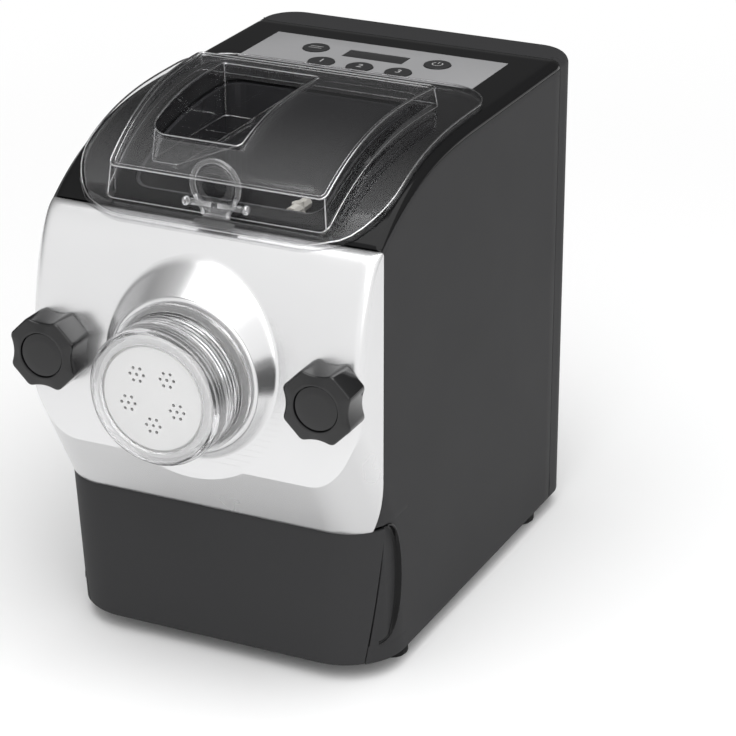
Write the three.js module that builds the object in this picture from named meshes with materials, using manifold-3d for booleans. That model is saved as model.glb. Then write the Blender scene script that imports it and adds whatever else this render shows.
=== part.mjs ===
// Electric pasta maker: a table-top machine that kneads dough in a bowl under a clear lid
// and presses it out through a shaping disc at the front.
// Millimetres, +Z up, the front faces -Y. The origin is on the table, under the middle of the machine.
import * as THREE from 'three';
import { mergeVertices } from 'three/addons/utils/BufferGeometryUtils.js';
import Module from 'manifold-3d';

const wasm = await Module();
wasm.setup();

// Clearances and walls that many pieces share
const GAP = 0.3; // between two pieces that touch
const RUNNING_GAP = 0.8; // round a piece that turns or slides
const OVERRUN = 2; // how far a cutting tool passes the face it cuts
const CASING_WALL = 3;

// Casing: the outer form that all the covers share
const BODY_WIDTH = 219;
const FOOT_HEIGHT = 12; // the underside of the casing stands this far off the table
const REAR_Y = 190;
const REAR_COVER_DEPTH = 35;
const PANEL_FRONT_Y = -110; // vertical front edge of the side panels
const CROWN_Z = 322; // flat top of the casing
const CROWN_BEND_Y = 32; // where the flat top starts to bend down towards the front
const BROW_Z = 283; // top edge of the front cover
const BROW_Y = -111;
const TOP_EDGE_RADIUS = 6;
const REAR_CORNER_RADIUS = 26;
const REAR_TOP_RADIUS = 9;

// Front cover: it bulges forward to the crease, and the chin under the crease falls back to the drawer
const FACE_Y = -145.5;
const CREASE_Z = 144;
const CHIN_Y = -122.5;
const FACE_CORNER_RADIUS = 6;
const CHIN_CORNER_RADIUS = 32;

// Drawer at the foot of the front
const DRAWER_TOP_Z = 104;
const DRAWER_TOE_Y = -118.5;
const TOE_CORNER_RADIUS = 40;
const SEAM_TOP_Y = -102; // the drawer front ends here on the sides, at its top
const SEAM_TOE_Y = -108; // and here at its bottom
const DRAWER_WALL = 2.4;
const TRAY_INSET = 23.5; // from the side of the casing to the tray
const TRAY_REAR_Y = 24;
const TRAY_RIM_DROP = 9; // the tray's rim under the top of the drawer front
const RUNNER_WIDTH = 5;
const RUNNER_HEIGHT = 8;

// Finger recess in each side panel, behind the drawer front
const RECESS_TOP_Z = 107;
const RECESS_BOTTOM_Z = 24;
const RECESS_REAR_Y = -84;
const RECESS_DEPTH = 5;
const RECESS_WALL = 2;

// Axis of the kneading shaft, the screw and the nozzle
const AXIS_Z = 202.4;

// Collar: the bright ring that the front cover raises round the nozzle
const COLLAR_CLEARANCE = 1; // between the nut and the collar's bore
const COLLAR_RIM_WIDTH = 5;
const COLLAR_FLARE = 9; // the base of the collar is this much wider than its rim
const COLLAR_RIM_Y = -152.5;
const COLLAR_BASE_Y = -138;
const COLLAR_LIP = 1.5; // bevel round the rim

// Nozzle: clear ring nut, white shaping disc and the clear tube behind them
const NOZZLE_FRONT_Y = -190;
const NUT_WALL = 3.7;
const NUT_SHOULDER = 2; // the front of the nut is this much smaller than its body
const NUT_FLANGE_WIDTH = 4;
const NUT_FLANGE_Y = -158.5;
const NUT_REAR_Y = -154.5;
const NUT_LIP_WIDTH = 3.5; // the nut's front covers this much of the disc's edge
const NUT_LIP_DEPTH = 3;
const NUT_RIB_DEPTH = 1.1;
const NUT_RIB_COUNT = 6;
const NUT_BAND_SHARE = 0.4; // smooth band before the ribs, as a share of the nut's length
const NUT_RIB_SHARES = [0.25, 0.6]; // where a groove ends and a rib starts in one pitch
const DISC_MARGIN = 1.5; // the disc is this much smaller than the tube
const DISC_THICKNESS = 6;
const DISC_FACE_GAP = 0.5; // between the disc's raised face and the nut's window
const DISC_HOLE_RADIUS = 1.15;
const ROSETTE_HOLE_CIRCLE = 4.4;
const ROSETTE_COUNT = 5;
const ROSETTE_HOLES = 6;
const TUBE_OUTER_RADIUS = 38.5;
const TUBE_WALL = 4;
const TUBE_FLANGE_WIDTH = 4.5;
const TUBE_FLANGE_THICKNESS = 4;

// Mixing bowl: a trough with a round bottom, open at the top
const BOWL_INNER_RADIUS = 62;
const BOWL_WALL = 2.5;
const BOWL_FRONT_Y = -97;
const BOWL_REAR_Y = 34;
const BOWL_RIM_DROP = 2; // the rim lies this far under the crown
const BOWL_CORNER_RADIUS = 12;

// Kneading paddle and screw on the drive shaft
const SHAFT_RADIUS = 7;
const PADDLE_REACH = 52;
const PADDLE_BAR_RADIUS = 4;
const PADDLE_BARS = 4;
const PADDLE_FIRST_DEGREES = 200;
const PADDLE_STEP_DEGREES = 140;
const SCREW_CLEARANCE = 2.5; // in the tube
const SCREW_CORE_RADIUS = 11;
const SCREW_TURNS = 2;
const SCREW_DISC_GAP = 6.7; // the dough packs here before it goes through the disc
const SCREW_REAR_Y = -92;
const FLIGHT_ROOT_DEGREES = 34; // half the flight's thickness at the core, as an angle
const FLIGHT_TIP_DEGREES = 14;
const CORE_START_DEGREES = 70; // the core's own points start here

// Star knobs that clamp the front cover, and their studs
const KNOB_INSET = 18.85; // from the side of the casing to a knob's axis
const KNOB_CORNER_RADIUS = 24; // to the tips of the lobes
const KNOB_TIP_DEGREES = 20.6; // half the angle between the two tips of a lobe
const KNOB_FRONT_Y = -165;
const KNOB_CAP_RADIUS = 14.5;
const KNOB_CAP_DEPTH = 1.2;
const KNOB_EDGE = 1.4; // bevel round the front and back edges
const KNOB_FACE_THICKNESS = 4.8; // between the front of a knob and its bore
const KNOB_HOLLOW_SHARE = 0.12; // depth of the hollow between two lobes
const STUD_RADIUS = 4;

// Feet
const FOOT_INSET = 14.5; // from the side of the casing to a foot's middle
const FOOT_FRONT_Y = -66;
const FOOT_REAR_Y = 138;
const FOOT_RADIUS = 10;
const FOOT_EDGE = 1.5;

// Clear lid: a flange that follows the crown, a raised box on it and a sunken pouring hopper
const LID_STAND = 2; // the flange is this far over the crown, and its turned-down edge closes the gap
const LID_WALL = 2.4;
const LID_INSET = 5.5; // from the side of the casing
const LID_REAR_Y = 70;
const LID_FRONT_Y = -120;
const LID_REAR_CORNER_RADIUS = 34;
const LID_FRONT_CORNER_RADIUS = 46;
const DOME_FRONT_Y = -109;
const DOME_REAR_Y = 26;
const DOME_FRONT_INSET = 32; // from the lid's sides
const DOME_REAR_INSET = 22;
const DOME_RISE_REAR = 15.8;
const DOME_RISE_FRONT = 22;
const DOME_BEAD = 1.6; // raised bead round the top of the box
const DOME_BEAD_WIDTH = 2.9;
const HOPPER_LEFT_X = -58;
const HOPPER_FRONT_RIGHT_X = 3;
const HOPPER_REAR_RIGHT_X = 8;
const HOPPER_FRONT_Y = -82;
const HOPPER_REAR_Y = 13;
const HOPPER_DEPTH = 34;
const HOPPER_SLOT_WIDTH = 20;
const SLOT_RIB_SHARES = [0.25, 0.5, 0.75]; // along the slot

// Latch: a clear rocker on the front of the lid, with a loop above its pivot and a ribbed toe below
const LATCH_LOOP_RADIUS = 17;
const LATCH_BAR = 4;
const LATCH_STEM_WIDTH = 18;
const LATCH_PIVOT_RADIUS = 2.2;
const LATCH_REACH = 6; // the pivot is this far in front of the box
const LATCH_RISE = 12; // and this far over the crown
const LATCH_RIB_COUNT = 5;
const LATCH_RIB_OVERHANG = 4.5; // a rib is this much wider than the stem on each side
const LATCH_X = -3;

// Control panel on the flat of the crown
const FOIL_INSET = 27.5; // from the side of the casing
const FOIL_FRONT_Y = 76;
const FOIL_REAR_Y = 134;
const FOIL_THICKNESS = 0.8;
const DISPLAY_HALF_WIDTH = 21;
const DISPLAY_FRONT_Y = 103.5;
const DISPLAY_REAR_Y = 118;
const BUTTON_RADIUS = 8.7;
const BUTTON_TRAVEL = 1;
const BUTTON_PROUD = 1.2;
const SIDE_BUTTON_X = 43;
const SIDE_BUTTON_Y = 111;
const PROGRAM_BUTTON_PITCH = 27;
const PROGRAM_BUTTON_Y = 86;
const BOARD_THICKNESS = 1.6;
const BOARD_POST_RADIUS = 3;
const BOARD_DEPTH_BELOW = 9; // under the skin of the crown

// Drive: motor, two stages of gears and their plates, behind the bowl
const MOTOR_RADIUS = 36;
const MOTOR_LENGTH = 66;
const MOTOR_EDGE = 2.9;
const GEAR_PLATE_Y = 46; // front face of the front plate
const GEAR_PLATE_THICKNESS = 3;
const GEAR_BOX_DEPTH = 40; // between the two plates
const GEAR_WIDTH = 10;
const FIRST_MODULE = 2.4;
const MOTOR_PINION_TEETH = 9;
const MIDDLE_GEAR_TEETH = 36;
const SECOND_MODULE = 3;
const MIDDLE_PINION_TEETH = 10;
const OUTPUT_GEAR_TEETH = 32;
const MIDDLE_PIN_RADIUS = 4;
const BUSH_OUTER_RADIUS = 11;
const BUSH_COLLAR_WIDTH = 2.8;
const BUSH_LENGTH = 8;
const FAN_RADIUS = 30;
const FAN_BLADES = 5;
const FAN_BLADE_THICKNESS = 1.5;
const FAN_BLADE_DEGREES = 40;
const DECK_THICKNESS = 3;
const MOTOR_SHAFT_RADIUS = 4;
const TOOTH_TIP_SHARE = 0.8; // height of a tooth over the pitch circle, as a share of the module
const TOOTH_ROOT_SHARE = 0.27; // half a tooth's width at its root, as a share of the pitch
const TOOTH_LAND_SHARE = 0.09; // half its width at the tip
const TOOTH_CLEARANCE_SHARE = 0.25; // of the module, between a tip and the root that it enters
const GEAR_PLATE_MARGIN = 14; // plate round the outermost gear or bush
const FRAME_THICKNESS = 3;
const FRAME_HEAD = 58; // the frame reaches this far over the axis
const STUD_HEAD_RADIUS = 8;
const STUD_HEAD_LENGTH = 4;

// Rear of the casing
const VENT_COUNT = 9;
const VENT_HEIGHT = 4;
const VENT_PITCH = 9;
const VENT_HALF_WIDTH = 45;
const VENT_BOTTOM_Z = 190;
const INLET_WIDTH = 28;
const INLET_HEIGHT = 20;
const INLET_DEPTH = 18;
const INLET_Z = 48;
const INLET_INSET = 49.5; // from the side of the casing to the inlet's middle

// Solids from three.js geometry, and the boolean work on them
function solidOf(geometry) {
  geometry.deleteAttribute('normal');
  geometry.deleteAttribute('uv');
  const merged = mergeVertices(geometry);
  const corners = merged.index.array;
  const kept = [];
  for (let i = 0; i < corners.length; i += 3) {
    const [a, b, c] = [corners[i], corners[i + 1], corners[i + 2]];
    if (a !== b && b !== c && c !== a) kept.push(a, b, c);
  }
  const place = (i) => new THREE.Vector3().fromBufferAttribute(merged.attributes.position, i);
  let volume = 0;
  for (let i = 0; i < kept.length; i += 3) {
    volume += place(kept[i]).dot(place(kept[i + 1]).cross(place(kept[i + 2])));
  }
  if (volume < 0) kept.reverse();
  return new wasm.Manifold(new wasm.Mesh({
    numProp: 3,
    vertProperties: new Float32Array(merged.attributes.position.array),
    triVerts: new Uint32Array(kept),
  }));
}

function geometryOf(solid) {
  const mesh = solid.getMesh();
  const geometry = new THREE.BufferGeometry();
  geometry.setAttribute('position', new THREE.BufferAttribute(mesh.vertProperties.slice(), 3));
  geometry.setIndex(new THREE.BufferAttribute(mesh.triVerts.slice(), 1));
  geometry.computeVertexNormals();
  return geometry;
}

const joined = (...solids) => solids.flat().reduce((sum, next) => sum.add(next));
const without = (solid, ...cutters) => cutters.flat().reduce((rest, next) => rest.subtract(next), solid);

// Outlines [a, b] drawn in one plane and pushed along the third axis
function outlineShape(points) {
  return new THREE.Shape(points.map(([a, b]) => new THREE.Vector2(a, b)));
}

function pushed(points, from, to) {
  return new THREE.ExtrudeGeometry(outlineShape(points), {
    depth: to - from,
    bevelEnabled: false,
    curveSegments: 1,
  }).translate(0, 0, from);
}

// [x, y] pushed along z
const prismZ = (points, from, to) => solidOf(pushed(points, from, to));
// [y, z] pushed along x
const prismX = (points, from, to) => {
  const turn = new THREE.Matrix4().set(0, 0, 1, 0, 1, 0, 0, 0, 0, 1, 0, 0, 0, 0, 0, 1);
  return solidOf(pushed(points, from, to).applyMatrix4(turn));
};
// [x, z] pushed along y
const prismY = (points, from, to) => {
  const turn = new THREE.Matrix4().set(1, 0, 0, 0, 0, 0, 1, 0, 0, 1, 0, 0, 0, 0, 0, 1);
  return solidOf(pushed(points, from, to).applyMatrix4(turn));
};

function block(x0, x1, y0, y1, z0, z1) {
  const geometry = new THREE.BoxGeometry(x1 - x0, y1 - y0, z1 - z0);
  return solidOf(geometry.translate((x0 + x1) / 2, (y0 + y1) / 2, (z0 + z1) / 2));
}

// A turned piece: its profile [radius, y] turns about an axis along y through x, z
function turned(profile, x, z, sides = 32) {
  const points = profile.map(([radius, y]) => new THREE.Vector2(radius, y));
  return solidOf(new THREE.LatheGeometry(points, sides).translate(x, 0, z));
}

function rodY(radius, y0, y1, x, z, sides = 16) {
  return turned([[0, y0], [radius, y0], [radius, y1], [0, y1]], x, z, sides);
}

function rodX(radius, x0, x1, y, z, sides = 16) {
  const rod = new THREE.CylinderGeometry(radius, radius, x1 - x0, sides).rotateZ(Math.PI / 2);
  return solidOf(rod.translate((x0 + x1) / 2, y, z));
}

function rodZ(radius, z0, z1, x, y, sides = 16) {
  const rod = new THREE.CylinderGeometry(radius, radius, z1 - z0, sides).rotateX(Math.PI / 2);
  return solidOf(rod.translate(x, y, (z0 + z1) / 2));
}

// A skin drawn through rings of points that all have the same count, closed by a fan at each end
function lofted(rings) {
  const count = rings[0].length;
  const middleOf = (ring) => ring
    .reduce((sum, point) => sum.add(point), new THREE.Vector3())
    .divideScalar(count);
  const points = [...rings.flat(), middleOf(rings[0]), middleOf(rings.at(-1))];
  const triangles = [];
  for (let i = 0; i < count; i += 1) {
    const next = (i + 1) % count;
    for (let start = 0; start < (rings.length - 1) * count; start += count) {
      triangles.push(start + i, start + next, start + next + count);
      triangles.push(start + i, start + next + count, start + i + count);
    }
    const last = (rings.length - 1) * count;
    triangles.push(points.length - 2, next, i);
    triangles.push(points.length - 1, last + i, last + next);
  }
  const geometry = new THREE.BufferGeometry();
  const places = new Float32Array(points.flatMap((point) => point.toArray()));
  geometry.setAttribute('position', new THREE.BufferAttribute(places, 3));
  geometry.setIndex(triangles);
  return solidOf(geometry);
}

// Points of an arc [a, b] about a centre, from one angle to another in degrees
function arc(centreA, centreB, radius, from, to, steps) {
  return Array.from({ length: steps + 1 }, (_, i) => {
    const angle = THREE.MathUtils.degToRad(from + ((to - from) * i) / steps);
    return [centreA + radius * Math.cos(angle), centreB + radius * Math.sin(angle)];
  });
}

// A rectangle with its own radius at the low corners (front or bottom) and the high ones
function roundedBox(halfWidth, low, high, lowRadius, highRadius, steps = 6) {
  return [
    ...arc(halfWidth - lowRadius, low + lowRadius, lowRadius, -90, 0, steps),
    ...arc(halfWidth - highRadius, high - highRadius, highRadius, 0, 90, steps),
    ...arc(-halfWidth + highRadius, high - highRadius, highRadius, 90, 180, steps),
    ...arc(-halfWidth + lowRadius, low + lowRadius, lowRadius, 180, 270, steps),
  ];
}

// Evenly spaced values from one to another
function spread(from, to, steps) {
  return Array.from({ length: steps + 1 }, (_, i) => from + ((to - from) * i) / steps);
}

// The casing's form: all the covers are cut from one outer skin and the same skin moved inwards
const HALF_WIDTH = BODY_WIDTH / 2;
const knobX = HALF_WIDTH - KNOB_INSET;
const footX = HALF_WIDTH - FOOT_INSET;
const trayHalfWidth = HALF_WIDTH - TRAY_INSET;
const foilHalfWidth = HALF_WIDTH - FOIL_INSET;
const lidSideX = HALF_WIDTH - LID_INSET;
const inletX = HALF_WIDTH - INLET_INSET;
const SEAM_Y = REAR_Y - REAR_COVER_DEPTH;
const CROWN_BEND_POWER = 3;

function crownZ(y) {
  const along = THREE.MathUtils.clamp((CROWN_BEND_Y - y) / (CROWN_BEND_Y - BROW_Y), 0, 1);
  return CROWN_Z - (CROWN_Z - BROW_Z) * along ** CROWN_BEND_POWER;
}

const casingBend = spread(BROW_Y, CROWN_BEND_Y, 7);

// The bulging face is a quarter of an ellipse from the brow to the crease
function faceY(z) {
  const up = THREE.MathUtils.clamp((z - CREASE_Z) / (BROW_Z - CREASE_Z), 0, 1);
  return BROW_Y + (FACE_Y - BROW_Y) * Math.sqrt(1 - up * up);
}

// Heights of the face's facets, from the crease up to the brow
const faceHeights = spread(0, 90, 8).map((degrees) => (
  CREASE_Z + (BROW_Z - CREASE_Z) * Math.sin(THREE.MathUtils.degToRad(degrees))
));

function chinY(z) {
  if (z < DRAWER_TOP_Z) {
    return THREE.MathUtils.mapLinear(z, FOOT_HEIGHT, DRAWER_TOP_Z, DRAWER_TOE_Y, CHIN_Y);
  }
  return THREE.MathUtils.mapLinear(z, DRAWER_TOP_Z, CREASE_Z, CHIN_Y, FACE_Y);
}

function chinCornerRadius(z) {
  const along = THREE.MathUtils.clamp((z - FOOT_HEIGHT) / (DRAWER_TOP_Z - FOOT_HEIGHT), 0, 1);
  return THREE.MathUtils.lerp(TOE_CORNER_RADIUS, CHIN_CORNER_RADIUS, along);
}

// Everything inside the outer skin, once it has moved inwards by a depth
function casingSolid(depth, bottom) {
  const top = CROWN_Z + OVERRUN;
  const planRing = (z, front, frontRadius) => roundedBox(
    HALF_WIDTH - depth,
    front + depth,
    REAR_Y - depth,
    Math.max(frontRadius - depth, GAP),
    REAR_CORNER_RADIUS - depth,
    4,
  ).map(([x, y]) => new THREE.Vector3(x, y, z));
  const faceRings = [bottom, ...faceHeights, top]
    .map((z) => planRing(z, faceY(z), FACE_CORNER_RADIUS));
  const chinRings = [bottom, DRAWER_TOP_Z, top]
    .map((z) => planRing(z, chinY(z), chinCornerRadius(z)));
  const edgeRadius = TOP_EDGE_RADIUS - depth;
  const crownRing = (y, z) => roundedBox(HALF_WIDTH - depth, bottom, z - depth, GAP, edgeRadius, 4)
    .map(([x, height]) => new THREE.Vector3(x, y, height));
  const rearSteps = 3;
  const rearTurn = spread(0, 90, rearSteps).map((degrees) => {
    const angle = THREE.MathUtils.degToRad(degrees);
    return [
      REAR_Y - REAR_TOP_RADIUS + REAR_TOP_RADIUS * Math.sin(angle),
      CROWN_Z - REAR_TOP_RADIUS + REAR_TOP_RADIUS * Math.cos(angle),
    ];
  });
  const crownRings = [
    crownRing(FACE_Y - OVERRUN, BROW_Z),
    ...casingBend.map((y) => crownRing(y, crownZ(y))),
    ...rearTurn.map(([y, z]) => crownRing(y, z)),
  ];
  return lofted(faceRings).intersect(lofted(chinRings)).intersect(lofted(crownRings));
}

const casingOuter = casingSolid(0, FOOT_HEIGHT);
const casingInner = casingSolid(CASING_WALL, FOOT_HEIGHT - OVERRUN);
const casingRoom = casingSolid(CASING_WALL + GAP, FOOT_HEIGHT); // free for what stands inside the covers
const casingSkin = without(casingOuter, casingInner);
const wide = HALF_WIDTH + OVERRUN;
const tall = CROWN_Z + OVERRUN * 2;

// What the object is made of: one material for each finish
function finish(color, roughness, metalness, opacity = 1) {
  return new THREE.MeshStandardMaterial({ color, roughness, metalness, opacity, transparent: opacity < 1 });
}
const satinBlack = () => finish(0x434343, 0.55, 0);
const glossBlack = () => finish(0x161616, 0.15, 0);
const silverPlastic = () => finish(0xc9c9c9, 0.35, 0.6);
const clearPlastic = () => finish(0xf2f5f5, 0.05, 0, 0.35);
const whitePlastic = () => finish(0xf4f4f2, 0.4, 0);
const greyFoil = () => finish(0x999999, 0.6, 0);
const steel = () => finish(0xb8babd, 0.3, 1);
const zincPlate = () => finish(0x9a9da0, 0.45, 1);
const motorSteel = () => finish(0x77797c, 0.5, 1);
const nylon = () => finish(0xe8e3d6, 0.5, 0);
const brass = () => finish(0xc2a35a, 0.35, 1);
const rubber = () => finish(0x202020, 0.9, 0);
const greenBoard = () => finish(0x2f6a46, 0.6, 0);

const machine = new THREE.Group();
function add(name, solid, material, parent = machine) {
  const mesh = new THREE.Mesh(geometryOf(solid), material);
  mesh.name = name;
  parent.add(mesh);
}

// Side panels: flat plates that wrap round the lower front corners as far as the drawer's seam
const PANEL_TOP_DROP_FRONT = 2;
function panelTopZ(y) {
  const along = THREE.MathUtils.clamp((CROWN_BEND_Y - y) / (CROWN_BEND_Y - BROW_Y), 0, 1);
  return crownZ(y) - THREE.MathUtils.lerp(TOP_EDGE_RADIUS, PANEL_TOP_DROP_FRONT, along * along);
}
const bendSamples = spread(CROWN_BEND_Y, PANEL_FRONT_Y, 9);
const belowBody = FOOT_HEIGHT - OVERRUN;

function sidePanel(side) {
  const outline = [
    [SEAM_TOE_Y, belowBody],
    [SEAM_Y - GAP, belowBody],
    [SEAM_Y - GAP, panelTopZ(SEAM_Y)],
    ...bendSamples.map((y) => [y, panelTopZ(y)]),
    [PANEL_FRONT_Y, DRAWER_TOP_Z],
    [SEAM_TOP_Y, DRAWER_TOP_Z],
  ];
  const region = prismX(outline, HALF_WIDTH / 2, wide);
  const recess = (grow) => {
    const middle = (RECESS_TOP_Z + RECESS_BOTTOM_Z) / 2;
    const halfHeight = (RECESS_TOP_Z - RECESS_BOTTOM_Z) / 2 + grow;
    const mouth = SEAM_TOE_Y - OVERRUN;
    const curve = spread(-90, 90, 12).map((degrees) => {
      const angle = THREE.MathUtils.degToRad(degrees);
      return [
        SEAM_TOP_Y + (RECESS_REAR_Y - SEAM_TOP_Y + grow) * Math.cos(angle),
        middle + halfHeight * Math.sin(angle),
      ];
    });
    return [[mouth, middle + halfHeight], [mouth, middle - halfHeight], ...curve];
  };
  const floorX = HALF_WIDTH - RECESS_DEPTH;
  const liner = prismX(recess(RECESS_WALL), floorX - RECESS_WALL, wide);
  const panel = joined(casingSkin, liner.intersect(casingOuter)).intersect(region);
  const frontWall = block(0, HALF_WIDTH - CASING_WALL * 2, FACE_Y, SEAM_Y, RECESS_TOP_Z + RECESS_WALL, tall);
  const cut = without(panel, prismX(recess(0), floorX, wide + OVERRUN), frontWall);
  return side > 0 ? cut : cut.mirror([1, 0, 0]);
}
add('side_panel_right', sidePanel(1), satinBlack());
add('side_panel_left', sidePanel(-1), satinBlack());

// Rear cover: a deep tray that closes the back and the last strip of the crown
function rearCover() {
  const shell = casingSkin.intersect(block(-wide, wide, SEAM_Y, REAR_Y + OVERRUN, belowBody, tall));
  const vents = Array.from({ length: VENT_COUNT }, (_, i) => {
    const z = VENT_BOTTOM_Z + i * VENT_PITCH;
    const front = REAR_Y - CASING_WALL * 2;
    return block(-VENT_HALF_WIDTH, VENT_HALF_WIDTH, front, REAR_Y + OVERRUN, z, z + VENT_HEIGHT);
  });
  const inletHole = block(
    inletX - INLET_WIDTH / 2,
    inletX + INLET_WIDTH / 2,
    REAR_Y - CASING_WALL * 2,
    REAR_Y + OVERRUN,
    INLET_Z - INLET_HEIGHT / 2,
    INLET_Z + INLET_HEIGHT / 2,
  );
  return without(shell, vents, inletHole);
}
add('rear_cover', rearCover(), satinBlack());

// The bowl's mouth, shared by the top cover, the bowl and the lid's hopper
const bowlOuterRadius = BOWL_INNER_RADIUS + BOWL_WALL;
const mouthOutline = (grow) => roundedBox(
  bowlOuterRadius + grow,
  BOWL_FRONT_Y - grow,
  BOWL_REAR_Y + grow,
  BOWL_CORNER_RADIUS + grow,
  BOWL_CORNER_RADIUS + grow,
  4,
);

// Top cover: gloss black, from the seam at the rear down to the brow, with the bowl's mouth in it
const displayHole = (grow) => block(
  -DISPLAY_HALF_WIDTH - grow,
  DISPLAY_HALF_WIDTH + grow,
  DISPLAY_FRONT_Y - grow,
  DISPLAY_REAR_Y + grow,
  CROWN_Z - CASING_WALL - OVERRUN,
  CROWN_Z + OVERRUN,
);
const buttons = [
  { name: 'button_manual', x: -SIDE_BUTTON_X, y: SIDE_BUTTON_Y },
  { name: 'button_power', x: SIDE_BUTTON_X, y: SIDE_BUTTON_Y },
  { name: 'button_program_1', x: -PROGRAM_BUTTON_PITCH, y: PROGRAM_BUTTON_Y },
  { name: 'button_program_2', x: 0, y: PROGRAM_BUTTON_Y },
  { name: 'button_program_3', x: PROGRAM_BUTTON_PITCH, y: PROGRAM_BUTTON_Y },
];
const buttonHoles = (grow) => buttons.map(({ x, y }) => rodZ(
  BUTTON_RADIUS + grow,
  CROWN_Z - CASING_WALL - OVERRUN,
  CROWN_Z + OVERRUN,
  x,
  y,
));

function topCover() {
  const lower = (y) => panelTopZ(y) + GAP;
  const region = prismX([
    [SEAM_Y - GAP, lower(SEAM_Y)],
    [SEAM_Y - GAP, tall],
    [PANEL_FRONT_Y, tall],
    ...bendSamples.slice().reverse().map((y) => [y, lower(y)]),
  ], -wide, wide);
  const shell = casingSkin.intersect(region);
  const foilSeat = block(
    -foilHalfWidth - GAP,
    foilHalfWidth + GAP,
    FOIL_FRONT_Y - GAP,
    FOIL_REAR_Y + GAP,
    CROWN_Z - FOIL_THICKNESS,
    CROWN_Z + OVERRUN,
  );
  const mouth = prismZ(mouthOutline(GAP), CREASE_Z, tall);
  return without(shell, foilSeat, mouth, displayHole(-FOIL_THICKNESS), buttonHoles(GAP));
}
add('top_cover', topCover(), glossBlack());

// The nozzle's radii, from the tube outwards
const tubeBore = TUBE_OUTER_RADIUS - TUBE_WALL;
const nutBodyRadius = TUBE_OUTER_RADIUS + RUNNING_GAP + NUT_WALL;
const collarBoreRadius = nutBodyRadius + COLLAR_CLEARANCE;
const collarRimRadius = collarBoreRadius + COLLAR_RIM_WIDTH;

// Front cover: silver, with a flared collar round the nozzle and a hole for each stud
function frontCover() {
  const region = block(-wide, wide, FACE_Y - OVERRUN, PANEL_FRONT_Y - GAP, DRAWER_TOP_Z + GAP, tall);
  const flareSlope = COLLAR_FLARE / (COLLAR_BASE_Y - COLLAR_RIM_Y);
  const flareRadius = collarRimRadius + flareSlope * (BROW_Y - COLLAR_RIM_Y);
  const flare = turned([
    [0, BROW_Y],
    [flareRadius, BROW_Y],
    [collarRimRadius, COLLAR_RIM_Y + COLLAR_LIP],
    [collarRimRadius - COLLAR_LIP, COLLAR_RIM_Y],
    [0, COLLAR_RIM_Y],
  ], 0, AXIS_Z, 36);
  const shell = joined(casingSkin.intersect(region), without(flare, casingInner).intersect(region));
  const bore = rodY(collarBoreRadius, COLLAR_RIM_Y - OVERRUN, BROW_Y, 0, AXIS_Z, 36);
  const studHoles = [-knobX, knobX].map((x) => (
    rodY(STUD_RADIUS + RUNNING_GAP, FACE_Y - OVERRUN, PANEL_FRONT_Y, x, AXIS_Z)
  ));
  return without(shell, bore, studHoles);
}
add('front_cover', frontCover(), silverPlastic());

// Base plate: the floor of the casing, with the drawer's runners on it
function basePlate() {
  const floorTop = FOOT_HEIGHT + CASING_WALL;
  const plate = casingRoom.intersect(block(-wide, wide, FACE_Y, REAR_Y, FOOT_HEIGHT, floorTop));
  const runnerTop = floorTop + RUNNER_HEIGHT;
  const runners = [-1, 1].map((side) => {
    const inner = trayHalfWidth + RUNNING_GAP;
    const [x0, x1] = side > 0 ? [inner, inner + RUNNER_WIDTH] : [-inner - RUNNER_WIDTH, -inner];
    return block(x0, x1, SEAM_TOP_Y + RUNNER_WIDTH, TRAY_REAR_Y + RUNNER_WIDTH, FOOT_HEIGHT, runnerTop);
  });
  const stop = block(
    -trayHalfWidth,
    trayHalfWidth,
    TRAY_REAR_Y + GAP,
    TRAY_REAR_Y + GAP + RUNNER_WIDTH,
    FOOT_HEIGHT,
    runnerTop,
  );
  return joined(plate, runners, stop);
}
add('base_plate', basePlate(), satinBlack());

// Feet: rubber pads under the base plate
for (const [row, y] of [['front', FOOT_FRONT_Y], ['rear', FOOT_REAR_Y]]) {
  for (const [hand, x] of [['left', -footX], ['right', footX]]) {
    const profile = [
      [0, 0],
      [FOOT_RADIUS - FOOT_EDGE, 0],
      [FOOT_RADIUS, FOOT_EDGE],
      [FOOT_RADIUS, FOOT_HEIGHT - GAP],
      [0, FOOT_HEIGHT - GAP],
    ].map(([radius, z]) => new THREE.Vector2(radius, z));
    const pad = new THREE.LatheGeometry(profile, 16).rotateX(Math.PI / 2).translate(x, y, 0);
    add(`foot_${row}_${hand}`, solidOf(pad), rubber());
  }
}

// Drawer: a curved front that matches the casing, and a tray that rides between the runners
const drawer = new THREE.Group();
machine.add(drawer);
function drawerFront() {
  const outline = [
    [FACE_Y - OVERRUN, FOOT_HEIGHT - OVERRUN],
    [SEAM_TOE_Y - GAP, FOOT_HEIGHT - OVERRUN],
    [SEAM_TOP_Y - GAP, DRAWER_TOP_Z],
    [FACE_Y - OVERRUN, DRAWER_TOP_Z],
  ];
  return casingSkin.intersect(prismX(outline, -wide, wide));
}
add('drawer_front', drawerFront(), satinBlack(), drawer);

function drawerTray() {
  const floorZ = FOOT_HEIGHT + CASING_WALL + GAP;
  const rimZ = DRAWER_TOP_Z - TRAY_RIM_DROP;
  const outer = casingRoom.intersect(
    block(-trayHalfWidth, trayHalfWidth, FACE_Y, TRAY_REAR_Y, floorZ, rimZ),
  );
  const room = casingSolid(CASING_WALL + GAP + DRAWER_WALL, FOOT_HEIGHT).intersect(block(
    -trayHalfWidth + DRAWER_WALL,
    trayHalfWidth - DRAWER_WALL,
    FACE_Y,
    TRAY_REAR_Y - DRAWER_WALL,
    floorZ + DRAWER_WALL,
    rimZ + OVERRUN,
  ));
  return without(outer, room);
}
add('drawer_tray', drawerTray(), satinBlack(), drawer);

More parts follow.
